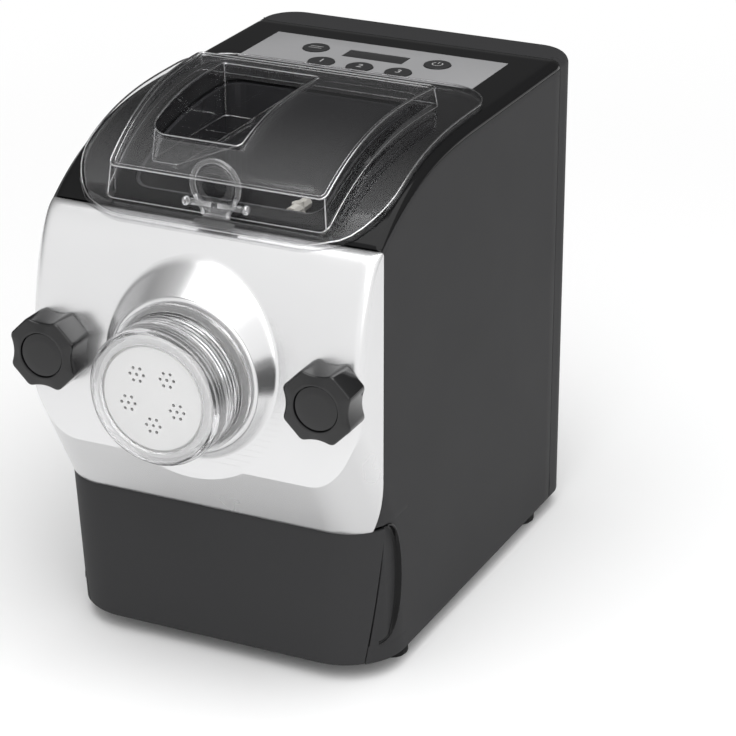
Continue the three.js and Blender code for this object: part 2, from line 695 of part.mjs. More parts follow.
// Deck: the shelf over the drawer that carries the bowl's frame
const deckZ = RECESS_TOP_Z + RECESS_WALL + GAP;
const deckTop = deckZ + DECK_THICKNESS;
const tubeFlangeFront = BOWL_FRONT_Y - GAP - TUBE_FLANGE_THICKNESS;
const frameRear = tubeFlangeFront - GAP;
const frameFront = frameRear - FRAME_THICKNESS;
add('deck', casingRoom.intersect(
  block(-wide, wide, frameFront - DECK_THICKNESS, GEAR_PLATE_Y - GAP, deckZ, deckTop),
), zincPlate());

// Front frame: a steel plate behind the front cover that holds the tube's flange and the two studs
function frontFrame() {
  const top = AXIS_Z + FRAME_HEAD;
  const plate = casingRoom.intersect(block(-wide, wide, frameFront, frameRear, deckTop + GAP, top));
  const bore = rodY(TUBE_OUTER_RADIUS + GAP, frameFront - OVERRUN, frameRear + OVERRUN, 0, AXIS_Z, 28);
  const studHoles = [-knobX, knobX].map((x) => (
    rodY(STUD_RADIUS + GAP, frameFront - OVERRUN, frameRear + OVERRUN, x, AXIS_Z)
  ));
  return without(plate, bore, studHoles);
}
add('front_frame', frontFrame(), zincPlate());

// Mixing bowl: a trough that hangs in the mouth of the top cover, with the tube's hole at its front
const underCrown = (drop) => prismX([
  [REAR_Y, FOOT_HEIGHT],
  [REAR_Y, CROWN_Z - drop],
  ...bendSamples.map((y) => [y, crownZ(y) - drop]),
  [PANEL_FRONT_Y, FOOT_HEIGHT],
], -wide, wide);
function bowlRoom(radius, inset) {
  const trough = [
    ...arc(0, AXIS_Z, radius, 180, 360, 16),
    [radius, tall],
    [-radius, tall],
  ];
  return prismY(trough, BOWL_FRONT_Y + inset, BOWL_REAR_Y - inset)
    .intersect(prismZ(mouthOutline(-inset), CREASE_Z - radius, tall));
}
function mixingBowl() {
  const shell = bowlRoom(bowlOuterRadius, 0).intersect(underCrown(BOWL_RIM_DROP));
  const tubeHole = rodY(
    tubeBore,
    BOWL_FRONT_Y - OVERRUN,
    BOWL_FRONT_Y + BOWL_WALL + OVERRUN,
    0,
    AXIS_Z,
    28,
  );
  const shaftHole = rodY(
    SHAFT_RADIUS + RUNNING_GAP,
    BOWL_REAR_Y - BOWL_WALL - OVERRUN,
    BOWL_REAR_Y + OVERRUN,
    0,
    AXIS_Z,
  );
  return without(shell, bowlRoom(BOWL_INNER_RADIUS, BOWL_WALL), tubeHole, shaftHole);
}
add('mixing_bowl', mixingBowl(), satinBlack());

// Gears: straight teeth with a flat tip, thinned a little so that they run free
function gearOutline(module, teeth, firstToothDegrees) {
  const pitchRadius = (module * teeth) / 2;
  const tip = pitchRadius + module * TOOTH_TIP_SHARE;
  const root = pitchRadius - module * (TOOTH_TIP_SHARE + TOOTH_CLEARANCE_SHARE);
  const step = 360 / teeth;
  return Array.from({ length: teeth }, (_, i) => {
    const middle = firstToothDegrees + i * step;
    return [
      [root, -TOOTH_ROOT_SHARE],
      [tip, -TOOTH_LAND_SHARE],
      [tip, TOOTH_LAND_SHARE],
      [root, TOOTH_ROOT_SHARE],
    ].map(([radius, share]) => {
      const angle = THREE.MathUtils.degToRad(middle + share * step);
      return [radius * Math.cos(angle), radius * Math.sin(angle)];
    });
  }).flat();
}
function gear(module, teeth, firstToothDegrees, y, z) {
  const outline = gearOutline(module, teeth, firstToothDegrees);
  return prismY(outline, y, y + GEAR_WIDTH).translate([0, 0, z]);
}
const middleAxisZ = AXIS_Z - (SECOND_MODULE * (MIDDLE_PINION_TEETH + OUTPUT_GEAR_TEETH)) / 2;
const motorAxisZ = middleAxisZ - (FIRST_MODULE * (MOTOR_PINION_TEETH + MIDDLE_GEAR_TEETH)) / 2;
const platesInside = GEAR_PLATE_Y + GEAR_PLATE_THICKNESS;
const rearPlateY = platesInside + GEAR_BOX_DEPTH;
const motorY = rearPlateY + GEAR_PLATE_THICKNESS + GAP;
const outputGearY = platesInside + BUSH_LENGTH / 2;
const middleGearY = rearPlateY - RUNNING_GAP - GEAR_WIDTH;
const halfTooth = (teeth) => 180 / teeth;

// Gear plates: two steel plates on the base plate, with the bushes, the pin and the motor between them
function gearPlate(y, extraHoles) {
  const reach = (SECOND_MODULE * OUTPUT_GEAR_TEETH) / 2 + GEAR_PLATE_MARGIN;
  const foot = FOOT_HEIGHT + CASING_WALL + GAP;
  const outline = roundedBox(reach, foot, AXIS_Z + reach, GEAR_PLATE_MARGIN, reach / 2);
  const through = (radius, z) => rodY(radius, y - OVERRUN, y + GEAR_PLATE_THICKNESS + OVERRUN, 0, z);
  return without(
    prismY(outline, y, y + GEAR_PLATE_THICKNESS),
    through(BUSH_OUTER_RADIUS + GAP, AXIS_Z),
    through(MIDDLE_PIN_RADIUS + GAP, middleAxisZ),
    extraHoles.map((radius) => through(radius, motorAxisZ)),
  );
}
add('gear_plate_front', gearPlate(GEAR_PLATE_Y, []), zincPlate());
add('gear_plate_rear', gearPlate(rearPlateY, [MOTOR_SHAFT_RADIUS * 2 + RUNNING_GAP]), zincPlate());

// Bushes: plain bronze bearings with a collar inside each plate
function bush(inward, plateOuterFace) {
  const collar = BUSH_OUTER_RADIUS + BUSH_COLLAR_WIDTH;
  const collarStart = plateOuterFace + inward * (GEAR_PLATE_THICKNESS + GAP);
  const end = plateOuterFace + inward * (GEAR_PLATE_THICKNESS + GAP + GEAR_PLATE_THICKNESS);
  return without(
    joined(
      rodY(BUSH_OUTER_RADIUS, Math.min(plateOuterFace, end), Math.max(plateOuterFace, end), 0, AXIS_Z),
      rodY(collar, Math.min(collarStart, end), Math.max(collarStart, end), 0, AXIS_Z),
    ),
    rodY(SHAFT_RADIUS + GAP, GEAR_PLATE_Y - REAR_Y, REAR_Y, 0, AXIS_Z),
  );
}
add('bush_front', bush(1, GEAR_PLATE_Y), brass());
add('bush_rear', bush(-1, rearPlateY + GEAR_PLATE_THICKNESS), brass());

// The disc sits in the front of the nut, and the screw ends a little behind it
const discFront = NOZZLE_FRONT_Y + NUT_LIP_DEPTH + GAP;
const discRear = discFront + DISC_THICKNESS;
const screwFront = discRear + SCREW_DISC_GAP;

// Kneading drive: shaft, output gear, paddle and screw turn together
const kneadingDrive = new THREE.Group();
machine.add(kneadingDrive);
add('drive_shaft', rodY(
  SHAFT_RADIUS,
  screwFront + SCREW_CORE_RADIUS,
  rearPlateY + GEAR_PLATE_THICKNESS,
  0,
  AXIS_Z,
), steel(), kneadingDrive);
const shaftBore = rodY(SHAFT_RADIUS + GAP, screwFront + SCREW_CORE_RADIUS - GAP, REAR_Y, 0, AXIS_Z);
add('output_gear', without(
  gear(SECOND_MODULE, OUTPUT_GEAR_TEETH, -90, outputGearY + BUSH_LENGTH / 2, AXIS_Z),
  shaftBore,
), nylon(), kneadingDrive);

function kneadingPaddle() {
  const front = SCREW_REAR_Y + GAP;
  const rear = BOWL_REAR_Y - BOWL_WALL - RUNNING_GAP;
  const hub = rodY(SCREW_CORE_RADIUS, front, rear, 0, AXIS_Z);
  const pitch = (rear - front) / PADDLE_BARS;
  const bars = Array.from({ length: PADDLE_BARS }, (_, i) => {
    const bar = rodX(PADDLE_BAR_RADIUS, 0, PADDLE_REACH, 0, 0, 8);
    const end = rodY(PADDLE_BAR_RADIUS, -pitch / 2 + PADDLE_BAR_RADIUS, pitch / 2 - PADDLE_BAR_RADIUS,
      PADDLE_REACH - PADDLE_BAR_RADIUS, 0, 8);
    return joined(bar, end)
      .rotate([0, PADDLE_FIRST_DEGREES + PADDLE_STEP_DEGREES * i, 0])
      .translate([0, front + pitch * i + pitch / 2, AXIS_Z]);
  });
  return without(joined(hub, bars), shaftBore);
}
add('kneading_paddle', kneadingPaddle(), nylon(), kneadingDrive);

// Screw: one flight that winds round the core and feeds the dough to the disc
function extrusionScrew() {
  const flight = [
    [-FLIGHT_ROOT_DEGREES, SCREW_CORE_RADIUS],
    [-FLIGHT_TIP_DEGREES, tubeBore - SCREW_CLEARANCE],
    [FLIGHT_TIP_DEGREES, tubeBore - SCREW_CLEARANCE],
    [FLIGHT_ROOT_DEGREES, SCREW_CORE_RADIUS],
    ...spread(CORE_START_DEGREES, 360 - CORE_START_DEGREES, 5).map((degrees) => [degrees, SCREW_CORE_RADIUS]),
  ];
  const steps = SCREW_TURNS * 14;
  const rings = spread(0, 1, steps).map((along) => flight.map(([degrees, radius]) => {
    const angle = THREE.MathUtils.degToRad(degrees + along * SCREW_TURNS * 360);
    return new THREE.Vector3(
      radius * Math.cos(angle),
      THREE.MathUtils.lerp(screwFront, SCREW_REAR_Y, along),
      AXIS_Z + radius * Math.sin(angle),
    );
  }));
  return without(lofted(rings), shaftBore);
}
add('extrusion_screw', extrusionScrew(), nylon(), kneadingDrive);

// Middle gear: a large and a small gear in one piece, turning on a fixed pin
const middleGear = new THREE.Group();
machine.add(middleGear);
const middlePinionY = outputGearY + BUSH_LENGTH / 2;
add('middle_gear', without(
  joined(
    gear(FIRST_MODULE, MIDDLE_GEAR_TEETH, -90, middleGearY, middleAxisZ),
    gear(SECOND_MODULE, MIDDLE_PINION_TEETH, 90 + halfTooth(MIDDLE_PINION_TEETH), middlePinionY, middleAxisZ),
    rodY(MIDDLE_PIN_RADIUS * 2, platesInside + RUNNING_GAP, middleGearY + GEAR_WIDTH, 0, middleAxisZ),
  ),
  rodY(MIDDLE_PIN_RADIUS + GAP, GEAR_PLATE_Y, rearPlateY, 0, middleAxisZ),
), nylon(), middleGear);
add('middle_gear_pin', rodY(
  MIDDLE_PIN_RADIUS,
  GEAR_PLATE_Y,
  rearPlateY + GEAR_PLATE_THICKNESS,
  0,
  middleAxisZ,
), steel());

// Motor: body bolted behind the rear plate, with its shaft, pinion and cooling fan
const motorRear = motorY + MOTOR_LENGTH;
add('motor_body', without(
  turned([
    [0, motorY],
    [MOTOR_RADIUS - MOTOR_EDGE, motorY],
    [MOTOR_RADIUS, motorY + MOTOR_EDGE],
    [MOTOR_RADIUS, motorRear - MOTOR_EDGE],
    [MOTOR_RADIUS - MOTOR_EDGE, motorRear],
    [0, motorRear],
  ], 0, motorAxisZ, 24),
  rodY(MOTOR_SHAFT_RADIUS + GAP, motorY - OVERRUN, motorRear + OVERRUN, 0, motorAxisZ),
), motorSteel());

const motorRotor = new THREE.Group();
machine.add(motorRotor);
const fanY = motorRear + RUNNING_GAP;
add('motor_shaft', rodY(
  MOTOR_SHAFT_RADIUS,
  middleGearY - RUNNING_GAP,
  fanY + GEAR_WIDTH,
  0,
  motorAxisZ,
), steel(), motorRotor);
const motorBore = rodY(MOTOR_SHAFT_RADIUS + GAP, platesInside, REAR_Y, 0, motorAxisZ);
add('motor_pinion', without(
  gear(FIRST_MODULE, MOTOR_PINION_TEETH, 90 + halfTooth(MOTOR_PINION_TEETH), middleGearY, motorAxisZ),
  motorBore,
), steel(), motorRotor);

function motorFan() {
  const hub = rodY(MOTOR_SHAFT_RADIUS * 2, fanY, fanY + GEAR_WIDTH, 0, 0);
  const blades = Array.from({ length: FAN_BLADES }, (_, i) => (
    block(0, FAN_RADIUS, -FAN_BLADE_THICKNESS / 2, FAN_BLADE_THICKNESS / 2, -GEAR_WIDTH / 2, GEAR_WIDTH / 2)
      .rotate([FAN_BLADE_DEGREES, 0, 0])
      .translate([0, fanY + GEAR_WIDTH / 2, 0])
      .rotate([0, (360 / FAN_BLADES) * i, 0])
  ));
  const slice = rodY(FAN_RADIUS, fanY, fanY + GEAR_WIDTH, 0, 0);
  return without(joined(hub, blades).intersect(slice).translate([0, 0, motorAxisZ]), motorBore);
}
add('motor_fan', motorFan(), satinBlack(), motorRotor);

// Extrusion tube: clear, with a flange that the front frame holds against the bowl
function extrusionTube() {
  const front = discRear + GAP;
  const rear = BOWL_FRONT_Y - GAP;
  const flangeRadius = TUBE_OUTER_RADIUS + TUBE_FLANGE_WIDTH;
  return turned([
    [tubeBore, front],
    [TUBE_OUTER_RADIUS, front],
    [TUBE_OUTER_RADIUS, tubeFlangeFront],
    [flangeRadius, tubeFlangeFront],
    [flangeRadius, rear],
    [tubeBore, rear],
    [tubeBore, front],
  ], 0, AXIS_Z, 28);
}
add('extrusion_tube', extrusionTube(), clearPlastic());

// Shaping disc: white, with a raised face that fills the window of the nut and five rosettes of holes
const discRadius = TUBE_OUTER_RADIUS - DISC_MARGIN;
const windowRadius = discRadius - NUT_LIP_WIDTH;
function shapingDisc() {
  const faceRadius = windowRadius - DISC_FACE_GAP;
  const faceFront = discFront - NUT_LIP_DEPTH / 2;
  const disc = turned([
    [0, discRear],
    [discRadius, discRear],
    [discRadius, discFront],
    [faceRadius, discFront],
    [faceRadius - NUT_LIP_DEPTH / 2, faceFront],
    [0, faceFront],
  ], 0, AXIS_Z, 28);
  const places = Array.from({ length: ROSETTE_COUNT }, (_, i) => {
    const angle = THREE.MathUtils.degToRad(-90 + (360 / ROSETTE_COUNT) * i);
    const [x, z] = [Math.cos(angle), Math.sin(angle)].map((share) => (share * windowRadius) / 2);
    return [[x, z], ...arc(x, z, ROSETTE_HOLE_CIRCLE, 0, 300, ROSETTE_HOLES - 1)];
  }).flat();
  const holes = places.map(([x, z]) => (
    rodY(DISC_HOLE_RADIUS, faceFront - OVERRUN, discRear + OVERRUN, x, AXIS_Z + z, 5)
  ));
  return without(disc, joined(holes));
}
const nozzle = new THREE.Group();
machine.add(nozzle);
add('shaping_disc', shapingDisc(), whitePlastic());

// Nozzle nut: a clear ring that screws on the tube and holds the disc, ribbed for the hand
function nozzleNut() {
  const seat = NOZZLE_FRONT_Y + NUT_LIP_DEPTH;
  const bore = TUBE_OUTER_RADIUS + RUNNING_GAP;
  const frontRadius = nutBodyRadius - NUT_SHOULDER;
  const flangeRadius = nutBodyRadius + NUT_FLANGE_WIDTH;
  const [ribFoot, ribTop] = NUT_RIB_SHARES;
  const bandEnd = THREE.MathUtils.lerp(NOZZLE_FRONT_Y, NUT_FLANGE_Y, NUT_BAND_SHARE);
  const pitch = (NUT_FLANGE_Y - bandEnd) / NUT_RIB_COUNT;
  const ribs = Array.from({ length: NUT_RIB_COUNT }, (_, i) => {
    const start = bandEnd + i * pitch;
    return [
      [nutBodyRadius - NUT_RIB_DEPTH, start + pitch * ribFoot],
      [nutBodyRadius, start + pitch * ribTop],
    ];
  }).flat();
  return turned([
    [windowRadius, seat],
    [windowRadius, NOZZLE_FRONT_Y],
    [frontRadius - NUT_SHOULDER, NOZZLE_FRONT_Y],
    [frontRadius, NOZZLE_FRONT_Y + NUT_SHOULDER / 2],
    [nutBodyRadius, NOZZLE_FRONT_Y + NUT_SHOULDER * 2],
    [nutBodyRadius, bandEnd],
    ...ribs,
    [nutBodyRadius, NUT_FLANGE_Y],
    [flangeRadius, NUT_FLANGE_Y],
    [flangeRadius, NUT_REAR_Y],
    [bore, NUT_REAR_Y],
    [bore, seat],
    [windowRadius, seat],
  ], 0, AXIS_Z, 28);
}
add('nozzle_nut', nozzleNut(), clearPlastic(), nozzle);

// Star knobs: four lobes with hollows between them, a shallow round cap in the front, and a threaded bore
const knobRearY = faceY(AXIS_Z - KNOB_CORNER_RADIUS) - GAP;
const knobBoreFront = KNOB_FRONT_Y + KNOB_FACE_THICKNESS;
const HOLLOW_SHARES = [0.25, 0.5, 0.75]; // points of a hollow, between two tips
function starOutline(shrink) {
  return [0, 90, 180, 270].flatMap((quarter) => {
    const tip = (degrees) => {
      const angle = THREE.MathUtils.degToRad(quarter + degrees);
      const reach = KNOB_CORNER_RADIUS - shrink;
      return [reach * Math.cos(angle), reach * Math.sin(angle)];
    };
    const [left, right] = [tip(45 - KNOB_TIP_DEGREES), tip(45 + KNOB_TIP_DEGREES)];
    const next = tip(135 - KNOB_TIP_DEGREES);
    const hollow = HOLLOW_SHARES.map((along) => {
      const sink = 1 - KNOB_HOLLOW_SHARE * 4 * along * (1 - along);
      return [0, 1].map((axis) => THREE.MathUtils.lerp(right[axis], next[axis], along) * sink);
    });
    return [left, right, ...hollow];
  });
}
function starKnob() {
  const ring = (shrink, y) => starOutline(shrink).map(([x, z]) => new THREE.Vector3(x, y, z));
  const body = lofted([
    ring(KNOB_EDGE, knobRearY),
    ring(0, knobRearY - KNOB_EDGE),
    ring(0, KNOB_FRONT_Y + KNOB_EDGE),
    ring(KNOB_EDGE, KNOB_FRONT_Y),
  ]);
  return without(
    body,
    rodY(KNOB_CAP_RADIUS + GAP, KNOB_FRONT_Y - OVERRUN, KNOB_FRONT_Y + KNOB_CAP_DEPTH * 2, 0, 0, 28),
    rodY(STUD_RADIUS + GAP, knobBoreFront, knobRearY + OVERRUN, 0, 0),
  );
}
for (const [hand, x] of [['left', -knobX], ['right', knobX]]) {
  add(`stud_${hand}`, joined(
    rodY(STUD_RADIUS, knobBoreFront + GAP, frameRear + GAP, x, AXIS_Z),
    rodY(STUD_HEAD_RADIUS, frameRear + GAP, frameRear + GAP + STUD_HEAD_LENGTH, x, AXIS_Z, 6),
  ), steel());
  const knob = new THREE.Group();
  machine.add(knob);
  knob.position.set(x, 0, AXIS_Z);
  add(`star_knob_${hand}`, starKnob(), glossBlack(), knob);
  const capFront = KNOB_FRONT_Y + KNOB_CAP_DEPTH / 2;
  const cap = rodY(KNOB_CAP_RADIUS, capFront, KNOB_FRONT_Y + KNOB_CAP_DEPTH * 2 - GAP, 0, 0, 28);
  add(`knob_cap_${hand}`, cap, glossBlack(), knob);
}

// Control panel: a foil let into the crown, a display, five buttons and the board under them
add('panel_foil', without(
  block(
    -foilHalfWidth,
    foilHalfWidth,
    FOIL_FRONT_Y,
    FOIL_REAR_Y,
    CROWN_Z - FOIL_THICKNESS + GAP,
    CROWN_Z + GAP,
  ),
  displayHole(GAP),
  buttonHoles(GAP),
), greyFoil());
add('display_window', block(
  -DISPLAY_HALF_WIDTH,
  DISPLAY_HALF_WIDTH,
  DISPLAY_FRONT_Y,
  DISPLAY_REAR_Y,
  CROWN_Z - FOIL_THICKNESS + GAP,
  CROWN_Z + GAP,
), glossBlack());
const boardTop = CROWN_Z - CASING_WALL - BOARD_DEPTH_BELOW;
for (const { name, x, y } of buttons) {
  const top = CROWN_Z + BUTTON_PROUD;
  const dome = new THREE.LatheGeometry([
    [0, boardTop + GAP + BUTTON_TRAVEL],
    [BUTTON_RADIUS / 2, boardTop + GAP + BUTTON_TRAVEL],
    [BUTTON_RADIUS / 2, CROWN_Z - CASING_WALL - BUTTON_TRAVEL * 2],
    [BUTTON_RADIUS, CROWN_Z - CASING_WALL - BUTTON_TRAVEL * 2],
    [BUTTON_RADIUS, top - BUTTON_PROUD / 2],
    [BUTTON_RADIUS - BUTTON_PROUD, top],
    [0, top],
  ].map(([radius, z]) => new THREE.Vector2(radius, z)), 16).rotateX(Math.PI / 2).translate(x, y, 0);
  add(name, solidOf(dome), satinBlack());
}
function controlBoard() {
  const board = block(
    -foilHalfWidth,
    foilHalfWidth,
    FOIL_FRONT_Y,
    FOIL_REAR_Y,
    boardTop - BOARD_THICKNESS,
    boardTop,
  );
  const posts = [-1, 1].flatMap((side) => [FOIL_FRONT_Y, FOIL_REAR_Y].map((y) => rodZ(
    BOARD_POST_RADIUS,
    boardTop - BOARD_THICKNESS,
    CROWN_Z - CASING_WALL - GAP,
    side * (foilHalfWidth - BOARD_POST_RADIUS * 2),
    y + (y > PROGRAM_BUTTON_Y ? -1 : 1) * BOARD_POST_RADIUS * 2,
    10,
  )));
  return joined(board, posts);
}
add('control_board', controlBoard(), greenBoard());

// Power inlet: a socket in the rear cover, low on one side, with its three pins
function powerInlet() {
  const [left, right] = [inletX - INLET_WIDTH / 2, inletX + INLET_WIDTH / 2];
  const [low, high] = [INLET_Z - INLET_HEIGHT / 2, INLET_Z + INLET_HEIGHT / 2];
  const front = REAR_Y - INLET_DEPTH;
  const wall = CASING_WALL / 2;
  const rim = CASING_WALL;
  const box = block(left + GAP, right - GAP, front, REAR_Y, low + GAP, high - GAP);
  const brim = block(
    left - CASING_WALL,
    right + CASING_WALL,
    REAR_Y - CASING_WALL * 2,
    REAR_Y - CASING_WALL - GAP,
    low - CASING_WALL,
    high + CASING_WALL,
  );
  const socket = block(left + rim, right - rim, front + rim, REAR_Y + OVERRUN, low + rim, high - rim);
  const pins = [-1, 0, 1].map((place) => {
    const x = inletX + place * (INLET_WIDTH / 4);
    const z = INLET_Z + (place === 0 ? wall : -wall);
    return block(x - wall / 2, x + wall / 2, front + wall, REAR_Y - wall * 2, z - wall, z + wall);
  });
  return joined(without(joined(box, brim), socket), pins);
}
add('power_inlet', powerInlet(), satinBlack());

// Lid: a clear flange that follows the crown and the top of the face, with a raised box and a hopper
const skinPoints = [
  ...faceHeights.slice(-3, -1).map((z) => [faceY(z), z]),
  ...casingBend.map((y) => [y, crownZ(y)]),
  [LID_REAR_Y + OVERRUN, CROWN_Z],
];
// The band between two heights over the casing's skin, across the whole width
const overSkin = (low, high) => prismX([
  ...skinPoints.map(([y, z]) => [y, z + low]),
  ...skinPoints.slice().reverse().map(([y, z]) => [y, z + high]),
], -wide, wide);

const lidOutline = (inset) => prismZ(roundedBox(
  lidSideX - inset,
  LID_FRONT_Y + inset,
  LID_REAR_Y - inset,
  LID_FRONT_CORNER_RADIUS - inset,
  LID_REAR_CORNER_RADIUS - inset,
  6,
), CREASE_Z, tall);

function domeTopZ(y) {
  const rise = THREE.MathUtils.mapLinear(y, DOME_FRONT_Y, DOME_REAR_Y, DOME_RISE_FRONT, DOME_RISE_REAR);
  return crownZ(y) + rise;
}
// Everything under the box's top once it is lifted, and everything inside its walls once they move in
const domeUnder = (lift) => prismX([
  [DOME_REAR_Y + OVERRUN, CREASE_Z],
  [DOME_FRONT_Y - OVERRUN, CREASE_Z],
  ...[...spread(DOME_FRONT_Y - OVERRUN, CROWN_BEND_Y / 3, 7), DOME_REAR_Y + OVERRUN]
    .map((y) => [y, domeTopZ(y) + lift]),
], -wide, wide);
const domeTop = CROWN_Z + DOME_RISE_REAR;
const overDome = domeTop + DOME_RISE_FRONT;
const domePlan = (inset) => prismZ([
  [-lidSideX + DOME_FRONT_INSET + inset, DOME_FRONT_Y + inset],
  [lidSideX - DOME_FRONT_INSET - inset, DOME_FRONT_Y + inset],
  [lidSideX - DOME_REAR_INSET - inset, DOME_REAR_Y - inset],
  [-lidSideX + DOME_REAR_INSET + inset, DOME_REAR_Y - inset],
], CREASE_Z, overDome);
const hopperBottomZ = domeTop - HOPPER_DEPTH;
function hopperSolid(grow, bottom) {
  const top = domeTop + OVERRUN;
  const ring = (frontRight, rearRight, z) => [
    [HOPPER_LEFT_X - grow, HOPPER_FRONT_Y - grow],
    [frontRight + grow, HOPPER_FRONT_Y - grow],
    [rearRight + grow, HOPPER_REAR_Y + grow],
    [HOPPER_LEFT_X - grow, HOPPER_REAR_Y + grow],
  ].map(([x, y]) => new THREE.Vector3(x, y, z));
  const slotRight = HOPPER_LEFT_X + HOPPER_SLOT_WIDTH;
  return lofted([
    ring(slotRight, slotRight, bottom),
    ring(slotRight, slotRight, hopperBottomZ),
    ring(HOPPER_FRONT_RIGHT_X, HOPPER_REAR_RIGHT_X, top),
  ]);
}
const latchPivotY = DOME_FRONT_Y - LATCH_REACH;
const latchPivotZ = crownZ(DOME_FRONT_Y) + LATCH_RISE;
const latchEar = LATCH_LOOP_RADIUS + LATCH_BAR / 2;

function lid() {
  const flange = joined(
    overSkin(LID_STAND, LID_STAND + LID_WALL).intersect(lidOutline(0)),
    without(overSkin(GAP, LID_STAND + GAP).intersect(lidOutline(0)), lidOutline(LID_WALL)),
  );
  const overFlange = overSkin(LID_STAND, DOME_RISE_FRONT + DOME_BEAD + OVERRUN);
  const box = domePlan(0).intersect(domeUnder(DOME_BEAD)).intersect(overFlange);
  const insideBead = without(domePlan(DOME_BEAD_WIDTH), domeUnder(0));
  const room = domePlan(LID_WALL).intersect(domeUnder(-LID_WALL));
  const shell = without(joined(flange, box), insideBead, room);
  const hopperWall = hopperSolid(LID_WALL, hopperBottomZ - LID_WALL).intersect(domeUnder(0));
  const slotRibs = SLOT_RIB_SHARES.map((along) => {
    const y = THREE.MathUtils.lerp(HOPPER_FRONT_Y, HOPPER_REAR_Y, along);
    return block(
      HOPPER_LEFT_X - GAP,
      HOPPER_LEFT_X + HOPPER_SLOT_WIDTH + GAP,
      y - LID_WALL / 2,
      y + LID_WALL / 2,
      hopperBottomZ - LID_WALL,
      hopperBottomZ + LID_WALL,
    );
  });
  const ears = [-1, 1].map((side) => {
    const x = LATCH_X + side * latchEar;
    const half = LATCH_BAR / 2;
    return without(
      joined(
        rodX(LATCH_PIVOT_RADIUS * 2, x - half, x + half, latchPivotY, latchPivotZ, 14),
        block(x - half, x + half, latchPivotY, DOME_FRONT_Y + GAP, latchPivotZ - half, latchPivotZ + half),
      ),
      rodX(LATCH_PIVOT_RADIUS + GAP, x - LATCH_BAR, x + LATCH_BAR, latchPivotY, latchPivotZ, 14),
    );
  });
  const hopperRoom = hopperSolid(0, hopperBottomZ - LID_WALL * 2);
  return joined(without(joined(shell, hopperWall), hopperRoom), slotRibs, ears);
}
const lidGroup = new THREE.Group();
machine.add(lidGroup);
add('lid', lid(), clearPlastic(), lidGroup);

// Latch: a clear rocker on two ears of the lid, a loop for a finger above and a ribbed toe below
function lidLatch() {
  const loopCentreZ = latchPivotZ + LATCH_LOOP_RADIUS;
  const half = LATCH_BAR / 2;
  const ring = (radius, reach) => (
    rodY(radius, latchPivotY - reach, latchPivotY + reach, LATCH_X, loopCentreZ, 24)
  );
  const loop = without(ring(LATCH_LOOP_RADIUS, half), ring(LATCH_LOOP_RADIUS - LATCH_BAR, LATCH_BAR));
  const pin = rodX(
    LATCH_PIVOT_RADIUS,
    LATCH_X - latchEar - half,
    LATCH_X + latchEar + half,
    latchPivotY,
    latchPivotZ,
    14,
  );
  const toeLow = LID_STAND + LID_WALL + GAP;
  const toeHigh = toeLow + LATCH_BAR / 2;
  const stemHalf = LATCH_STEM_WIDTH / 2;
  const toe = overSkin(toeLow, toeHigh).intersect(block(
    LATCH_X - stemHalf,
    LATCH_X + stemHalf,
    LID_FRONT_Y,
    latchPivotY + half,
    CREASE_Z,
    tall,
  ));
  const stem = block(
    LATCH_X - stemHalf,
    LATCH_X + stemHalf,
    latchPivotY - half,
    latchPivotY + half,
    crownZ(latchPivotY) + toeLow,
    latchPivotZ + half,
  ).intersect(overSkin(toeLow, LATCH_RISE * 2));
  const ribPitch = (latchPivotY - half - LID_FRONT_Y) / (LATCH_RIB_COUNT - 1);
  const ribHalf = stemHalf + LATCH_RIB_OVERHANG;
  const ribs = Array.from({ length: LATCH_RIB_COUNT - 1 }, (_, i) => {
    const y = LID_FRONT_Y + i * ribPitch;
    return block(LATCH_X - ribHalf, LATCH_X + ribHalf, y, y + ribPitch / 2, CREASE_Z, tall)
      .intersect(overSkin(toeLow, toeHigh + LATCH_BAR / 4));
  });
  return joined(loop, pin, toe, stem, ribs);
}
add('lid_latch', lidLatch(), clearPlastic(), lidGroup);

export default machine;
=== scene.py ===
import math
from contextlib import contextmanager

import bmesh
import bpy
import numpy as np
from mathutils import Matrix, Vector


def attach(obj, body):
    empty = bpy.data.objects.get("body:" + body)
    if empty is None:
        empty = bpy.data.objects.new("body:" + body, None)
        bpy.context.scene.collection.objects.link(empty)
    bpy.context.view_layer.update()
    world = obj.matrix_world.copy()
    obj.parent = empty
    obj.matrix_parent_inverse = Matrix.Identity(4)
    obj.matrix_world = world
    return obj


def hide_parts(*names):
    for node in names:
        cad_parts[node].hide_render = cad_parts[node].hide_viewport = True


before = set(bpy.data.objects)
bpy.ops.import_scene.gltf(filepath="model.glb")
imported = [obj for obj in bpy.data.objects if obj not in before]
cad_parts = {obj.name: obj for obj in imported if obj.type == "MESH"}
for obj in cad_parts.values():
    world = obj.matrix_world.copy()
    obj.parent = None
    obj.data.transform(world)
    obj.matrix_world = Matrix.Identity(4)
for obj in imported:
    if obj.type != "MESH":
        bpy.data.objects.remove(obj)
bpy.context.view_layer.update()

# ---- Front cover
# The silver shell of the front: one moulded piece of painted plastic that bulges forward,
# with a crease low down and a chin that falls back to the drawer. It hangs on two studs,
# and the star knobs clamp it to the steel frame behind. Lengths are in millimetres.
MM = 0.001
HALF = 109.5  # half the casing's width
PANEL_Y = -110  # front edge of the side panels
BROW_Y, BROW_Z = -111, 283
CREASE_Y, CREASE_Z = -145.5, 144
FACE_CORNER = 6
FOOT_Z, DRAWER_TOP = 12, 104
TOE_Y, CHIN_Y = -118.5, -122.5
TOE_CORNER, CHIN_CORNER = 40, 32
AXIS_Z = 202.4  # height of the nozzle and the knobs
SEAM_GAP = 0.3
CORNER_X = 74  # the corner's columns turn about this point, on the side's seam
COLLAR_HOLE = 47.5  # radius of the hole under the collar
FRONT_WALL = 2.4
QUARTER = np.pi / 2


